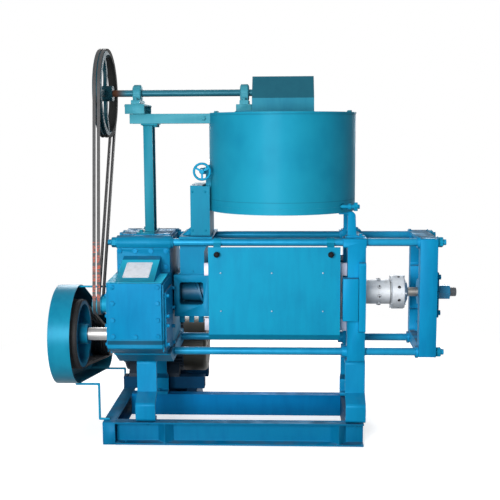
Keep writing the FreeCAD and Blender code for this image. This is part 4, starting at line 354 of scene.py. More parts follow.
def cast_iron(name, color, bare_rim=0.0):
    """Dark painted or oily iron, a little brighter where belts or hands polish it."""
    f = Finish(name, color, 0.5, metallic=0.35)
    lumps = f.noise(60.0, 4.0, 0.6)
    rub = f.edge(0.002) * f.noise(40.0, 3.0, 0.6).between(0.4, 0.7)
    paint = f.mix(lumps, tuple(c * 0.7 for c in color), tuple(min(1.0, c * 1.3) for c in color))
    f.feed("Base Color", f.mix(rub * (0.5 + bare_rim), paint, RUBBED_IRON))
    f.feed("Metallic", 0.3 + rub * 0.6)
    f.feed("Roughness", (0.42 + lumps * 0.25 - rub * 0.15).clamped())
    f.bump(lumps, 0.0004, 0.6)


def belt_rubber(name, print_line=None):
    """Black wrapped rubber, with patchy red-orange bands along the back of the front runs where it has a print line."""
    f = Finish(name, (0.022, 0.022, 0.024), 0.62)
    weave = f.node("ShaderNodeTexWave", {"wave_type": "BANDS", "bands_direction": "DIAGONAL"}, Vector=f.place,
                   Scale=330.0, Distortion=0.6, output="Fac")
    scuff = f.noise(60.0, 4.0, 0.65).between(0.45, 0.8)
    rubber = f.mix(scuff * 0.5, (0.016, 0.016, 0.018), (0.075, 0.072, 0.07))
    if print_line:
        low, high, pitch, run_y = print_line
        z = f.axis("Z")
        inside = z.between(low, low + 0.01) * (1.0 - z.between(high - 0.01, high))
        beat = (z / pitch).fraction()
        fine = (z / (pitch * 0.21)).fraction()
        dash = beat.between(0.06, 0.10) * (1.0 - beat.between(0.80, 0.84)) * (0.45 + fine.between(0.2, 0.4) * 0.55)
        front = (1.0 - f.facing("Y").between(-0.85, -0.55)) * (1.0 - f.axis("Y").between(run_y - 0.01, run_y + 0.01))
        patchy = f.noise(120.0, 3.0, 0.7).between(0.42, 0.58)
        rubber = f.mix(inside * dash * front * patchy * 0.85, rubber, (0.52, 0.075, 0.030))
    f.feed("Base Color", rubber)
    f.feed("Roughness", (0.52 + scuff * 0.25).clamped())
    f.bump(weave, 0.00025, 0.5)


def knob_mask(f):
    """The two ball knobs on the guard panel."""
    spots = None
    for x in KNOB_X:
        gone = (f.axis("X") - x).power(2.0) + (f.axis("Z") - KNOB_Z).power(2.0)
        spot = 1.0 - gone.power(0.5).between(KNOB_RADIUS * 0.99, KNOB_RADIUS * 1.08)
        spots = spot if spots is None else spots + spot
    return (spots * (1.0 - f.axis("Y").between(PANEL_Y - 0.0055, PANEL_Y - 0.0035))).clamped()


def kettle_seams(f):
    """Thin rolled seams below the rim and above the foot of the kettle."""
    upper = 1.0 - (f.axis("Z") - (KETTLE_RIM - 0.012)).size().between(0.0010, 0.0024)
    lower = 1.0 - (f.axis("Z") - (KETTLE_FOOT + 0.060)).size().between(0.0008, 0.0020)
    return (upper + lower).clamped() * 0.55


def feed_window_painted_shade(f):
    """Painted shade on the walls of the feed housing behind its window."""
    deep = f.axis("Y").between(FEED_FRONT + 0.008, FEED_FRONT + 0.030)
    return deep * (1.0 - f.axis("Y").between(FEED_REAR, FEED_REAR + 0.02)) * 0.65


def hood_slope_painted_shade(f):
    """Painted shade on the up-facing sloped sheets of the gear hood."""
    return f.facing("Z").between(0.25, 0.60) * 0.62


def spots_round_worm(x, first, reach, low, high):
    """Mask: eight round spots on a ring about the worm's axis, from radius low to high."""
    def mask(f):
        y, z = f.axis("Y"), f.axis("Z") - PRESS_Z
        far = (y.power(2.0) + z.power(2.0)).power(0.5)
        turn = f.node("ShaderNodeMath", {"operation": "ARCTAN2"}, y * -1.0, z) / EIGHTH
        arc = ((turn + (0.5 - first / 45.0)).fraction() - 0.5) * EIGHTH * far
        gone = (arc.power(2.0) + (f.axis("X") - x).power(2.0)).power(0.5)
        return (1.0 - gone.between(reach * 0.92, reach * 1.06)) * within(far, low, high, 0.0004)
    return mask


def choke_joint_and_painted_shade(f):
    """Dark joint between choke sleeve and ring nut, and painted shade in the screw sockets, round the screw feet and in
    the bar holes.
    """
    joint = near("X", CHOKE_JOINT, 0.0026)(f)
    sockets = spots_round_worm(*CHOKE_SCREWS, 0.0056, 0.0665, 0.0760)(f)
    feet = spots_round_worm(*CHOKE_SCREWS, 0.0110, 0.0640, 0.0662)(f)
    bar_holes = spots_round_worm(*BAR_HOLES, 0.0090, 0.0600, 0.0893)(f)
    return (joint * 0.85 + sockets + feet * 0.55 + bar_holes * 0.90).clamped()


def case_joint_and_painted_shadow(f):
    """Painted shadow in the band under the ledge of the front cover, and the oily dark line where the flange of the
    gear case sits on its gasket.
    """
    ahead = 1.0 - f.axis("Y").between(CASE_FRONT + 0.017, CASE_FRONT + 0.027)
    # Painted shadow in a band under the cover's ledge
    painted_shadow_under_cover = near("Z", COVER_LEDGE, 0.011)(f) * ahead
    flange = near("Y", CASE_PARTING, 0.0014)(f)
    return (painted_shadow_under_cover * 0.85 + flange).clamped()


def nose_slope_painted_light(f):
    """Painted light: the sloped face over the gear case, coloured brighter as if lit from above the front."""
    sloped = f.facing("Z").between(0.70, 0.85) * f.axis("Z").between(NOSE_FOOT - 0.004, NOSE_FOOT)
    return sloped * (1.0 - f.axis("Y").between(NOSE_REAR - 0.012, NOSE_REAR))


enamel("panel_blue", (0.002, 0.265, 0.440), marks=[(knob_mask, (0.012, 0.012, 0.014), 0.05)])
# front_blue carries painted shadow under the cover ledge, a dark gasket joint, and a brighter nose slope that is
# painted light.
enamel("front_blue", (0.001, 0.178, 0.340), cast=0.25, painted_shade_and_joint=case_joint_and_painted_shadow,
       marks=[(nose_slope_painted_light, (0.030, 0.560, 0.800), -0.05)])
enamel("case_blue", (0.002, 0.195, 0.360), dust=0.90, cast=0.5)
enamel("cover_blue", (0.001, 0.205, 0.410), dust=0.85, cast=0.12)
enamel("head_blue", (0.002, 0.275, 0.520), dust=0.60, cast=0.4)
enamel("yoke_blue", (0.002, 0.260, 0.500), dust=0.90, cast=0.4)
enamel("leg_blue", (0.002, 0.230, 0.450))
enamel("base_blue", (0.001, 0.165, 0.335), dust=0.40)
enamel("rear_blue", (0.001, 0.190, 0.460), dust=0.30)
enamel("kettle_blue", (0.009, 0.265, 0.405), gloss=0.58, brushed=0.06, sheen_level=0.16, peel=0.00034, dents=5.0,
       marks=[(kettle_seams, (0.01, 0.10, 0.16), 0.2)])
# hood_blue carries painted shade on the sloped sheets of the hood.
enamel("hood_blue", (0.018, 0.200, 0.290), dust=0.15, painted_shade_and_joint=hood_slope_painted_shade)
enamel("beam_blue", (0.045, 0.250, 0.320), dust=0.15)
enamel("post_blue", (0.010, 0.190, 0.270))
enamel("chute_blue", (0.001, 0.190, 0.305))
enamel("hopper_blue", (0.001, 0.205, 0.370))
# feed_blue carries painted shade on the walls behind the feed window.
enamel("feed_blue", (0.002, 0.200, 0.370), cast=0.3, painted_shade_and_joint=feed_window_painted_shade)
enamel("rod_blue", (0.012, 0.290, 0.520), gloss=0.30)
enamel("guard_blue", (0.006, 0.215, 0.340), dust=0.10, gloss=0.34)
# A much darker copy of the base blue: painted shade for the cross members under the machine.
enamel("painted_shade_blue", (0.001, 0.045, 0.110), dust=0.15)
enamel("small_blue", (0.004, 0.270, 0.460))
enamel("pulley_blue", (0.004, 0.230, 0.400), cast=0.3,
       marks=[(ring_mask(INPUT_AXIS, *INPUT_RIM), (0.030, 0.034, 0.038), 0.10)])
enamel("lay_pulley_blue", (0.006, 0.260, 0.420))
enamel("top_pulley_teal", (0.006, 0.050, 0.070), cast=0.3,
       marks=[(ring_mask(DRIVE_AXIS, *TOP_RIM), (0.020, 0.021, 0.021), 0.25)])
enamel("shaft_teal", (0.020, 0.130, 0.180), gloss=0.30,
       marks=[(ahead_of("X", SHAFT_RUST_END, 0.035, -1.0), (0.085, 0.034, 0.018), 0.35)])
bare_steel("turned_steel", (0.40, 0.395, 0.39), 0.40, "X", 0.05)
bare_steel("thrust_steel", (0.34, 0.32, 0.29), 0.36, "X", 0.30,
           marks=[(both(ahead_of("X", THRUST_NUT[0], 0.001), ahead_of("X", THRUST_NUT[1], 0.001, -1.0)),
                   (0.004, 0.200, 0.390)),
                  (ahead_of("X", THRUST_NUT[1] + 0.0005, 0.001), (0.045, 0.055, 0.065))])
bare_steel("gear_steel", (0.36, 0.36, 0.37), 0.38, "X", 0.0)
bare_steel("plate_steel", (0.40, 0.40, 0.41), 0.40, "Z", 0.15)
bare_steel("worm_steel", (0.16, 0.20, 0.25), 0.42, "X", 0.10,
           marks=[(ahead_of("X", WORM_BLUE_END, 0.012, -1.0), (0.003, 0.120, 0.240))])
bare_steel("fastener_steel", (0.34, 0.42, 0.50), 0.34, "Z", 0.15)
silver_paint("cage_steel", (0.62, 0.60, 0.68), 48.0)
silver_paint("choke_silver", (0.66, 0.69, 0.72), 75.0, choke_joint_and_painted_shade)
silver_paint("plate_pale", (0.86, 0.87, 0.93), 30.0)
cast_iron("pulley_iron", (0.045, 0.050, 0.055), 0.3)
cast_iron("motor_paint", (0.008, 0.020, 0.036))
cast_iron("fan_cover_paint", (0.022, 0.020, 0.013))
belt_rubber("kettle_belt", BELT_PRINT)
belt_rubber("motor_belt")

# The finish of each CAD piece
NODE_FINISH = {
    "base_front_channel": "base_blue", "base_rear_channel": "rear_blue", "base_left_rail": "base_blue",
    # The cross members take the darker copy of the base blue, as painted shade.
    "base_cross_members": "painted_shade_blue", "motor_cross_bars": "painted_shade_blue", "gearbox_legs": "leg_blue",
    "head_legs": "leg_blue", "frame_bolts": "cover_blue", "gearbox_housing": "case_blue",
    "gearbox_front_case": "front_blue", "gearbox_covers": "cover_blue", "gear_bearings": "gear_steel",
    "tie_rods": "rod_blue", "tie_rod_nuts": "small_blue", "press_head": "head_blue", "end_yoke": "yoke_blue",
    "thrust_housing": "yoke_blue", "feed_housing": "feed_blue", "feed_hopper": "hopper_blue",
    "feed_table": "hopper_blue", "upper_chute": "chute_blue", "cage_front_half": "cage_steel",
    "cage_rear_half": "cage_steel", "cage_bars": "gear_steel", "kettle_shell": "kettle_blue",
    "kettle_pan": "kettle_blue", "kettle_posts": "head_blue", "kettle_bridge": "beam_blue",
    "gear_hood": "hood_blue", "drive_beam": "beam_blue", "drive_post": "post_blue",
    "shaft_bearings": "beam_blue", "stirrer_bearing": "gear_steel", "gate_guides": "chute_blue",
    "steam_inlet": "small_blue", "kettle_belts": "kettle_belt", "motor_belts": "motor_belt",
    "belt_guard": "guard_blue", "guard_brackets": "small_blue", "motor_body": "motor_paint",
    "motor_end_shields": "motor_paint", "motor_fan_cover": "fan_cover_paint", "worm_shaft": "thrust_steel",
    "worm_sections": "worm_steel", "bull_gear": "gear_steel", "choke_cone": "choke_silver",
    "choke_ring": "choke_silver", "input_shaft": "turned_steel", "input_pulley": "pulley_blue",
    "layshaft": "turned_steel", "layshaft_gear": "gear_steel", "layshaft_pulley": "lay_pulley_blue",
    "drive_shaft": "shaft_teal", "top_pulley": "top_pulley_teal", "bevel_gear": "gear_steel",
    "stirrer": "plate_steel", "motor_rotor": "pulley_iron", "discharge_gate": "plate_steel",
    "handwheel": "small_blue", "guard_panel": "panel_blue",
}

# Pieces shown as a copy with rounded edges: how wide the edge is, in millimetres
ROUNDED = {
    "base_front_channel": 1.6, "base_rear_channel": 1.6, "base_left_rail": 1.6, "gearbox_legs": 2.0, "head_legs": 2.0,
    "frame_bolts": 1.2, "gearbox_housing": 2.2, "gearbox_front_case": 2.2, "gearbox_covers": 1.4, "press_head": 2.2,
    "end_yoke": 2.4, "thrust_housing": 1.4, "feed_housing": 1.8, "feed_table": 1.0, "kettle_posts": 1.6,
    "kettle_bridge": 1.4, "drive_beam": 1.4, "drive_post": 1.4, "shaft_bearings": 1.8, "cage_front_half": 1.4,
    "cage_rear_half": 1.4, "motor_end_shields": 1.6,
}

# Weld beads: name, the pieces whose inner corners they follow, finish
WELDED = (
    ("base_welds", ("base_front_channel", "base_left_rail"), "base_blue"),
    ("rear_welds", ("base_rear_channel", "base_cross_members"), "painted_shade_blue"),
    ("yoke_welds", ("end_yoke",), "yoke_blue"),
    ("kettle_frame_welds", ("kettle_posts", "kettle_bridge"), "head_blue"),
    ("drive_frame_welds", ("drive_post", "drive_beam"), "post_blue"),
)


def dress_nodes():
    for name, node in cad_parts.items():
        node.data.materials.clear()
        node.data.materials.append(finishes[NODE_FINISH[name]])


def shown_as_smooth(mesh, angle=SMOOTH_BELOW):
    mesh.polygons.foreach_set("use_smooth", [True] * len(mesh.polygons))
    mesh.set_sharp_from_angle(angle=math.radians(angle))


def applied(obj, name):
    """The object's modifiers worked into a new plain mesh."""
    bpy.context.view_layer.update()
    depsgraph = bpy.context.evaluated_depsgraph_get()
    made = bpy.data.meshes.new_from_object(obj.evaluated_get(depsgraph), preserve_all_data_layers=True,
                                           depsgraph=depsgraph)
    obj.modifiers.clear()
    obj.data = made
    made.name = name


def add_object(name, data):
    obj = bpy.data.objects.new(name, data)
    bpy.context.scene.collection.objects.link(obj)
    return obj


def merged(node_name, flat=True):
    """A working copy of a CAD piece with its points merged and, with flat, its coplanar triangles joined."""
    work = bmesh.new()
    work.from_mesh(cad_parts[node_name].data)
    bmesh.ops.remove_doubles(work, verts=work.verts, dist=SAME_POINT)
    if flat:
        bmesh.ops.dissolve_limit(work, angle_limit=math.radians(0.5), verts=work.verts, edges=work.edges)
    return work


def round_edges(node_name, millimetres):
    """A copy of a CAD piece with its points merged and its edges rounded, shown in its place."""
    work = merged(node_name)
    mesh = bpy.data.meshes.new("rounded_" + node_name)
    work.to_mesh(mesh)
    work.free()
    mesh.materials.append(finishes[NODE_FINISH[node_name]])
    obj = add_object("rounded_" + node_name, mesh)
    bevel = obj.modifiers.new("edges", "BEVEL")
    bevel.width = millimetres / 1000.0
    bevel.segments = 2
    bevel.limit_method = "ANGLE"
    bevel.angle_limit = math.radians(SMOOTH_BELOW)
    bevel.use_clamp_overlap = True
    bevel.harden_normals = True
    applied(obj, "rounded_" + node_name)
    shown_as_smooth(obj.data)
    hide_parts(node_name)
    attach(obj, "frame")


class Grower:
    """A Geometry Nodes tree that grows what repeats on the machine from a few points or lines."""

    def __init__(self, name, **inputs):
        self.tree = bpy.data.node_groups.new(name, "GeometryNodeTree")
        face = self.tree.interface
        face.new_socket(name="Geometry", in_out="INPUT", socket_type="NodeSocketGeometry")
        self.keys = {}
        for label, value in inputs.items():
            kind = "NodeSocketMaterial" if value is None else (
                "NodeSocketInt" if isinstance(value, int) else "NodeSocketFloat")
            socket = face.new_socket(name=label, in_out="INPUT", socket_type=kind)
            if value is not None:
                socket.default_value = value
            self.keys[label] = socket.identifier
        face.new_socket(name="Geometry", in_out="OUTPUT", socket_type="NodeSocketGeometry")
        self.given = self.tree.nodes.new("NodeGroupInput").outputs
        self.exit = self.tree.nodes.new("NodeGroupOutput").inputs

    def add(self, kind, settings=None, values=(), output=0, **named):
        """Any node: its settings first, then values or links for its sockets by order or by name."""
        made = self.tree.nodes.new(kind)
        for key, value in (settings or {}).items():
            setattr(made, key, value)
        pairs = list(zip(made.inputs, values)) + [(made.inputs[k.replace("_", " ")], v) for k, v in named.items()]
        for socket, value in pairs:
            if value is None:
                continue
            if isinstance(value, bpy.types.NodeSocket):
                self.tree.links.new(value, socket)
            elif isinstance(value, list):
                for item in value:
                    self.tree.links.new(item, socket)
            else:
                socket.default_value = value
        return made.outputs[output]

    def maths(self, operation, *values):
        return self.add("ShaderNodeMath", {"operation": operation}, values)

    def moved(self, geometry, **named):
        return self.add("GeometryNodeTransform", None, (geometry,), **named)

    def joined(self, *parts):
        return self.add("GeometryNodeJoinGeometry", None, (list(parts)[::-1],))

    def stored(self, name, kind="FLOAT"):
        return self.add("GeometryNodeInputNamedAttribute", {"data_type": kind}, (name,))

    def along(self, vector):
        """A rotation that lays local Z along a vector."""
        return self.add("FunctionNodeAlignRotationToVector", {"axis": "Z"}, Vector=vector)

    def ahead(self):
        """The rotation that lays local Z along the outward axis stored with each point."""
        return self.along(self.stored("ahead", "FLOAT_VECTOR"))

    def on_points(self, instance, points=None, **named):
        """The instance on each given point, or on each point of the mesh that the tree runs on."""
        places = self.given["Geometry"] if points is None else points
        return self.add("GeometryNodeInstanceOnPoints", None, (places,), Instance=instance, **named)

    def random(self):
        """A number from 0 to 1 for each point."""
        return self.add("FunctionNodeRandomValue", {"data_type": "FLOAT"}, output=1, Seed=self.given["Seed"])

    def ends_with(self, geometry):
        real = self.add("GeometryNodeRealizeInstances", None, (geometry,))
        dressed = self.add("GeometryNodeSetMaterial", None, (real,), Material=self.given["Material"])
        self.tree.links.new(dressed, self.exit[0])

    def grow(self, name, mesh, finish, slot, body="frame", angle=SMOOTH_BELOW, **values):
        """Runs the tree on a mesh and hands over one plain piece that rides on a body."""
        obj = add_object(name, mesh)
        modifier = obj.modifiers.new(name, "NODES")
        modifier.node_group = self.tree
        modifier[self.keys["Material"]] = finishes[finish]
        for label, value in values.items():
            modifier[self.keys[label]] = value
        applied(obj, name)
        shown_as_smooth(obj.data, angle)
        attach(obj, body)
        return obj


def points_mesh(name, rows):
    """Points with an outward axis, a size and a height, for a grower."""
    mesh = bpy.data.meshes.new(name)
    mesh.from_pydata([row[0] for row in rows], [], [])
    axis = mesh.attributes.new("ahead", "FLOAT_VECTOR", "POINT")
    axis.data.foreach_set("vector", [c for row in rows for c in row[1]])
    size = mesh.attributes.new("size", "FLOAT", "POINT")
    size.data.foreach_set("value", [row[2] for row in rows])
    return mesh


def lines_mesh(name, lines):
    """Polylines as edges, for a grower that follows them."""
    points, edges = [], []
    for line in lines:
        edges += [(len(points) + k, len(points) + k + 1) for k in range(len(line) - 1)]
        points += line
    mesh = bpy.data.meshes.new(name)
    mesh.from_pydata(points, edges, [])
    return mesh


def washer_grower():
    """Round washers that lie round the foot of each bolt head."""
    g = Grower("washers", Material=None, Thickness=0.0022, Spread=0.66)
    radius = g.maths("MULTIPLY", g.stored("size"), g.given["Spread"])
    disc = g.add("GeometryNodeMeshCylinder", {"fill_type": "NGON"}, Vertices=20, Radius=1.0, Depth=1.0)
    rim = g.add("GeometryNodeMeshCone", {"fill_type": "NGON"}, Vertices=20, Radius_Top=0.94, Radius_Bottom=1.0,
                Depth=0.3)
    shape = g.joined(g.moved(disc, Translation=(0.0, 0.0, 0.35), Scale=(1.0, 1.0, 0.7)),
                     g.moved(rim, Translation=(0.0, 0.0, 0.7)))
    scale = g.add("ShaderNodeCombineXYZ", None, (radius, radius, g.given["Thickness"]))
    g.ends_with(g.on_points(shape, Rotation=g.ahead(), Scale=scale))
    return g


def rivet_grower():
    """Domed rivet and screw heads, no two quite the same size."""
    g = Grower("rivets", Material=None, Dome=0.55, Seed=4)
    ball = g.add("GeometryNodeMeshUVSphere", None, Segments=12, Rings=8, Radius=1.0)
    wobble = g.maths("ADD", g.maths("MULTIPLY", g.random(), 0.16), 0.92)
    radius = g.maths("MULTIPLY", g.maths("MULTIPLY", g.stored("size"), 0.5), wobble)
    scale = g.add("ShaderNodeCombineXYZ", None, (radius, radius, g.maths("MULTIPLY", radius, g.given["Dome"])))
    g.ends_with(g.on_points(ball, Rotation=g.ahead(), Scale=scale))
    return g


def nut_grower():
    """Chamfered hexagon nuts on washers, each left at its own turn."""
    g = Grower("rod_nuts", Material=None, Flats=0.046, Height=0.026, Seat=0.004, Seat_Radius=0.030, Seed=7)
    corner = g.maths("MULTIPLY", g.given["Flats"], 0.57735)
    side = g.maths("MULTIPLY", g.given["Height"], 0.72)
    edge = g.maths("MULTIPLY", g.given["Height"], 0.14)
    small = g.maths("MULTIPLY", corner, 0.90)
    seat = g.add("GeometryNodeMeshCylinder", None, Vertices=32, Radius=g.given["Seat_Radius"], Depth=g.given["Seat"])
    body = g.add("GeometryNodeMeshCylinder", None, Vertices=6, Radius=corner, Depth=side)
    cap = g.add("GeometryNodeMeshCone", None, Vertices=6, Radius_Top=small, Radius_Bottom=corner, Depth=edge)
    foot = g.add("GeometryNodeMeshCone", None, Vertices=6, Radius_Top=corner, Radius_Bottom=small, Depth=edge)

    def lifted(part, *heights):
        total = heights[0]
        for height in heights[1:]:
            total = g.maths("ADD", total, height)
        return g.moved(part, Translation=g.add("ShaderNodeCombineXYZ", None, (0.0, 0.0, total)))

    half_seat = g.maths("MULTIPLY", g.given["Seat"], 0.5)
    half_side = g.maths("MULTIPLY", side, 0.5)
    hexagon = g.joined(lifted(foot, g.given["Seat"]), lifted(body, g.given["Seat"], edge, half_side),
                       lifted(cap, g.given["Seat"], edge, side))
    spin = g.add("FunctionNodeAxisAngleToRotation", None, Axis=(0.0, 0.0, 1.0), Angle=g.random())
    facing = g.ahead()
    placed = g.add("FunctionNodeRotateRotation", {"rotation_space": "LOCAL"}, (facing, spin))
    seats = g.on_points(lifted(seat, half_seat), Rotation=facing)
    nuts = g.on_points(hexagon, Rotation=placed)
    g.ends_with(g.joined(seats, nuts))
    return g


def rod_grower():
    """Round rods with a thinner threaded end on each side; the ridges come from a wave along the axis."""
    g = Grower("threaded_rods", Material=None, Left=-0.64, Left_Face=-0.592, Right_Face=1.041, Right=1.086,
               Radius=0.020, Thread_Radius=0.0150, Pitch=0.003)

    def place(x):
        return g.add("ShaderNodeCombineXYZ", None, (x, 0.0, 0.0))

    def swept(start, end, radius, rings=0):
        line = g.add("GeometryNodeCurvePrimitiveLine", {"mode": "POINTS"}, Start=place(start), End=place(end))
        if rings:
            line = g.add("GeometryNodeResampleCurve", None, (line,), Count=rings)
            x = g.add("ShaderNodeSeparateXYZ", None, (g.add("GeometryNodeInputPosition"),))
            beat = g.maths("SINE", g.maths("MULTIPLY", g.maths("DIVIDE", x, g.given["Pitch"]), 2.0 * math.pi))
            size = g.maths("MULTIPLY_ADD", beat, 0.035, 0.965)
            line = g.add("GeometryNodeSetCurveRadius", None, (line,), Radius=size)
        round_shape = g.add("GeometryNodeCurvePrimitiveCircle", None, Resolution=40, Radius=radius)
        return g.add("GeometryNodeCurveToMesh", None, (line, round_shape), Fill_Caps=True)

    plain = swept(g.given["Left_Face"], g.given["Right_Face"], g.given["Radius"])
    left = swept(g.given["Left"], g.given["Left_Face"], g.given["Thread_Radius"], 80)
    right = swept(g.given["Right_Face"], g.given["Right"], g.given["Thread_Radius"], 80)
    g.ends_with(g.on_points(g.joined(plain, left, right)))
    return g


def rim_grower():
    """Round rims swept along a circle."""
    g = Grower("wheel_rims", Material=None, Wheel=0.0405, Tube=0.0060)
    circle = g.add("GeometryNodeCurvePrimitiveCircle", None, Resolution=48, Radius=g.given["Wheel"])
    section = g.add("GeometryNodeCurvePrimitiveCircle", None, Resolution=14, Radius=g.given["Tube"])
    rim = g.add("GeometryNodeCurveToMesh", None, (circle, section))
    g.ends_with(g.on_points(rim, Rotation=g.ahead()))
    return g


def weld_grower():
    """Weld beads: overlapping ripples that follow a line."""
    g = Grower("welds", Material=None, Step=0.0032, Width=0.0042, Seed=11)
    curve = g.add("GeometryNodeMeshToCurve", None, (g.given["Geometry"],))
    points = g.add("GeometryNodeCurveToPoints", {"mode": "LENGTH"}, (curve,), Length=g.given["Step"])
    radius = g.maths("MULTIPLY", g.given["Width"], g.maths("MULTIPLY_ADD", g.random(), 0.25, 0.85))
    ball = g.add("GeometryNodeMeshIcoSphere", None, Radius=1.0, Subdivisions=1)
    scale = g.add("ShaderNodeCombineXYZ", None, (radius, radius, radius))
    g.ends_with(g.on_points(ball, points, Scale=scale))
    return g


def inner_corners(node_name):
    """The inner corners where the plates of a fabricated piece meet, as lines for its weld beads."""
    work = merged(node_name)
    shortest, longest, bend = 0.025, 0.30, math.radians(60.0)
    lines = []
    for edge in work.edges:
        if len(edge.link_faces) == 2 and shortest < edge.calc_length() < longest:
            if edge.calc_face_angle_signed() < -bend:
                lines.append([tuple(v.co) for v in edge.verts])
    work.free()
    return lines


def welds():
    """Beads along the inner corners of the welded pieces."""
    beads = weld_grower()
    for name, nodes, finish in WELDED:
        lines = [line for node in nodes for line in inner_corners(node)]
        if lines:
            beads.grow(name, lines_mesh(name + "_lines", lines), finish, "blue_enamel")


def head_places(node_name):
    """Feet, axes and sizes of the small bolt heads that stand free in a CAD piece."""
    work = merged(node_name, flat=False)
    widest, deepest, most_points = 0.036, 0.019, 60
    rows, seen = [], set()
    for first in work.verts:
        if first in seen:
            continue
        seen.add(first)
        patch, queue = [], [first]
        while queue:
            vert = queue.pop()
            patch.append(vert.co.copy())
            for edge in vert.link_edges:
                other = edge.other_vert(vert)
                if other not in seen:
                    seen.add(other)
                    queue.append(other)
        low = Vector([min(p[k] for p in patch) for k in range(3)])
        high = Vector([max(p[k] for p in patch) for k in range(3)])
        size = high - low
        thin = min(range(3), key=lambda k: size[k])
        if max(size) > widest or size[thin] > deepest or len(patch) > most_points:
            continue
        middle = (low + high) / 2
        axis = Vector((0.0, 0.0, 0.0))
        axis[thin] = -1.0 if (thin == 1 or (thin == 0 and middle.x < CASE_MIDDLE)) else 1.0
        foot = middle - axis * (size[thin] / 2)
        rows.append((tuple(foot), tuple(axis), min(size[k] for k in range(3) if k != thin)))
    work.free()
    return rows


def slope_point(share_x, share_up, lift=0.0):
    """A place on the sloped nose of the gear case."""
    low, high = SLOPE_LOW, SLOPE_HIGH
    along = Vector((0.0, high.y - low.y, high.z - low.z))
    out = Vector((0.0, -along.z, along.y)).normalized()
    return Vector((low.x + (high.x - low.x) * share_x, low.y, low.z)) + along * share_up + out * lift, out


def name_plate():
    """Blank pale plate on the slope of the gear case, with rounded corners and four rivets."""
    work = bmesh.new()
    corners = []
    for u, v, turn in ((0.19, 0.24, 180), (0.80, 0.24, 270), (0.80, 0.82, 0), (0.19, 0.82, 90)):
        for k in range(5):
            a = math.radians(turn + 22.5 * k)
            place, out = slope_point(u + 0.035 * math.cos(a), v + 0.028 * math.sin(a), 0.0004)
            corners.append(work.verts.new(place))
    sheet = work.faces.new(corners)
    raised = bmesh.ops.extrude_face_region(work, geom=[sheet])
    top = [v for v in raised["geom"] if isinstance(v, bmesh.types.BMVert)]
    bmesh.ops.translate(work, verts=top, vec=out * 0.0014)
    bmesh.ops.recalc_face_normals(work, faces=work.faces)
    mesh = bpy.data.meshes.new("name_plate")
    work.to_mesh(mesh)
    work.free()
    mesh.materials.append(finishes["plate_pale"])
    plate = add_object("name_plate", mesh)
    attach(plate, "frame")
    rows = []
    for u, v in ((0.190, 0.245), (0.800, 0.245), (0.800, 0.815), (0.190, 0.815)):
        place, out = slope_point(u, v, 0.0018)
        rows.append((tuple(place), tuple(out), 0.0050))
    return rows


def fasteners():
    """Washers, rivets, rod ends and nuts that the machine shows all over."""
    heads = head_places("frame_bolts") + head_places("thrust_housing")
    washer_grower().grow("bolt_washers", points_mesh("bolt_feet", heads), "cover_blue", "blue_enamel")
    rivets = rivet_grower()
    rivets.grow("plate_rivets", points_mesh("plate_rivet_places", name_plate()), "fastener_steel", "bare_steel")
    screws = [((x, PANEL_Y - 0.0004, z), FRONTWARD, 0.0085) for x in PANEL_SCREW_X for z in PANEL_SCREW_Z]
    rivets.grow("panel_screws", points_mesh("panel_screw_places", screws), "fastener_steel", "bare_steel",
                body="guard_panel")
    chute_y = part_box("upper_chute")[0].y - 0.0002
    chute_rows = [((x, chute_y, z), FRONTWARD, 0.012) for x in CHUTE_RIVET_X for z in CHUTE_RIVET_Z]
    rivets.grow("chute_rivets", points_mesh("chute_rivet_places", chute_rows), "chute_blue", "blue_enamel")
    low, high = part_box("handwheel")
    middle = (low + high) / 2
    hub = (middle.x, low.y + 0.0065, middle.z)
    rim_grower().grow("handwheel_rim", points_mesh("wheel_middle", [(hub, FRONTWARD, 1.0)]), "small_blue",
                      "blue_enamel", body="handwheel")
    spots = [((0.0, y, z), (1.0, 0.0, 0.0), 1.0) for y, z in ROD_PLACES]
    rods = rod_grower().grow("stepped_rods", points_mesh("rod_lines", spots), "rod_blue", "blue_enamel",
                             Left=ROD_ENDS[0], Left_Face=NUT_FACES[0], Right_Face=NUT_FACES[1], Right=ROD_ENDS[1])
    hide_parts("tie_rods")
    seats = [((face, y, z), (side, 0.0, 0.0), 1.0) for y, z in ROD_PLACES
             for face, side in ((NUT_FACES[0], -1.0), (NUT_FACES[1], 1.0))]
    nuts = nut_grower().grow("rod_nuts", points_mesh("nut_seats", seats), "small_blue", "blue_enamel", angle=20.0)
    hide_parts("tie_rod_nuts")


def shoot():
    """Camera at the photograph's place: eye level in front of the kettle, looking a little down and to the left."""
    data = bpy.data.cameras.new("camera")
    data.sensor_width = 36.0
    data.lens = 64.416
    camera = add_object("camera", data)
    place = Vector((0.2767, -4.7063, 1.6155))
    pitch, yaw, roll = 0.134, 0.041, -0.0052
    flat = Vector((-math.sin(yaw), math.cos(yaw), 0.0))
    right = Vector((math.cos(yaw), math.sin(yaw), 0.0))
    up = Vector((0.0, 0.0, 1.0))
    ahead = flat * math.cos(pitch) - up * math.sin(pitch)
    over = flat * math.sin(pitch) + up * math.cos(pitch)
    right, over = right * math.cos(roll) + over * math.sin(roll), over * math.cos(roll) - right * math.sin(roll)
    turn = Matrix((right, over, -ahead)).transposed().to_4x4()
    camera.matrix_world = Matrix.Translation(place) @ turn
    bpy.context.scene.camera = camera


def lamp(name, place, target, size, power):
    """A rectangular softbox that faces its target; power in watts."""
    data = bpy.data.lights.new(name, "AREA")
    data.shape = "RECTANGLE"
    data.size, data.size_y = size
    data.energy = power
    light = add_object(name, data)
    light.location = place
    light.rotation_mode = "QUATERNION"
    light.rotation_quaternion = (Vector(target) - Vector(place)).to_track_quat("-Z", "Y")


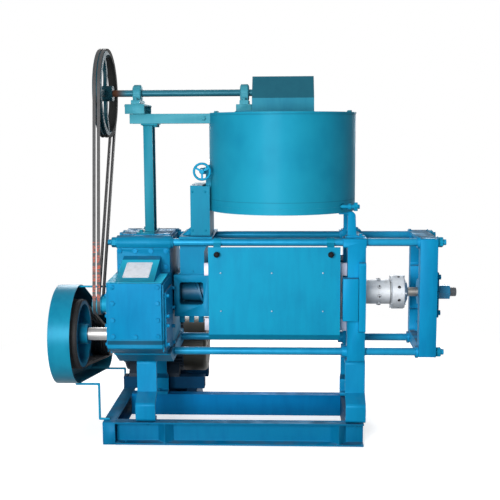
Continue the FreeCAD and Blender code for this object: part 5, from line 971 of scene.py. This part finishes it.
def in_view(tree):
    """1 for the rays of the camera, of mirroring surfaces and of clear ones, which all see the white background."""
    path = tree.nodes.new("ShaderNodeLightPath")
    total = path.outputs["Is Camera Ray"]
    for name in ("Is Glossy Ray", "Is Transmission Ray"):
        either = tree.nodes.new("ShaderNodeMath")
        either.operation = "MAXIMUM"
        tree.links.new(total, either.inputs[0])
        tree.links.new(path.outputs[name], either.inputs[1])
        total = either.outputs[0]
    return total


def studio():
    """White surroundings, a weak sky as fill light, a low frontal softbox and a weaker one behind."""
    bpy.context.scene.view_settings.view_transform = "Standard"
    world = bpy.data.worlds.new("studio")
    bpy.context.scene.world = world
    world.use_nodes = True
    tree = world.node_tree
    sky = tree.nodes["Background"]
    sky.inputs["Color"].default_value = (0.70, 0.82, 1.0, 1.0)
    sky.inputs["Strength"].default_value = 0.03
    white = tree.nodes.new("ShaderNodeBackground")
    white.inputs["Color"].default_value = (1.0, 1.0, 1.0, 1.0)
    background = tree.nodes.new("ShaderNodeMixShader")
    tree.links.new(in_view(tree), background.inputs["Fac"])
    tree.links.new(sky.outputs["Background"], background.inputs[1])
    tree.links.new(white.outputs["Background"], background.inputs[2])
    tree.links.new(background.outputs["Shader"], tree.nodes["World Output"].inputs["Surface"])
    bpy.ops.mesh.primitive_plane_add(size=40.0, location=(0.2, 0.0, -0.001))
    floor = bpy.context.object
    floor.name = "floor"
    paper = Finish("floor_paper", (0.80, 0.80, 0.80), 1.0)
    paper.shader.inputs["Specular IOR Level"].default_value = 0.0
    paper.shader.inputs["Emission Strength"].default_value = 1.0
    seen = Flow(paper, in_view(paper.tree))
    paper.feed("Base Color", paper.mix(seen, (0.22, 0.22, 0.22), (0.80, 0.80, 0.80)))
    paper.feed("Emission Color", paper.mix(seen, (0.0, 0.0, 0.0), (0.64, 0.64, 0.64)))
    # Away from the press the floor turns plain white, so that it has no visible end
    away = (paper.axis("X").power(2.0) + (paper.axis("Y") * 0.8).power(2.0)).power(0.5).between(1.45, 2.5)
    glow = paper.tree.nodes.new("ShaderNodeEmission")
    blend = paper.tree.nodes.new("ShaderNodeMixShader")
    paper.tree.links.new((away * seen).socket, blend.inputs["Fac"])
    paper.tree.links.new(paper.shader.outputs["BSDF"], blend.inputs[1])
    paper.tree.links.new(glow.outputs["Emission"], blend.inputs[2])
    paper.tree.links.new(blend.outputs["Shader"], paper.tree.nodes["Material Output"].inputs["Surface"])
    floor.data.materials.append(paper.material)
    lamp("softbox", (-1.2, -5.1, 1.75), (0.15, 0.0, 1.05), (2.3, 2.4), 325.0)
    lamp("overhead", (0.1, -0.6, 4.4), (0.2, 0.0, 0.9), (3.0, 2.2), 30.0)
    lamp("back_left", (-1.3, 4.6, 2.7), (0.0, 0.3, 0.9), (2.2, 2.2), 120.0)
    lamp("back_right", (1.9, 4.5, 2.4), (0.2, 0.3, 0.9), (2.2, 2.2), 110.0)
    lamp("left_edge", (-3.6, 0.6, 1.6), (0.0, 0.0, 1.0), (0.8, 2.2), 5.0)
    lamp("right_edge", (4.0, -0.2, 1.7), (0.3, 0.0, 1.0), (0.8, 2.2), 4.0)


dress_nodes()
for piece, width in ROUNDED.items():
    round_edges(piece, width)
fasteners()
welds()
shoot()
studio()
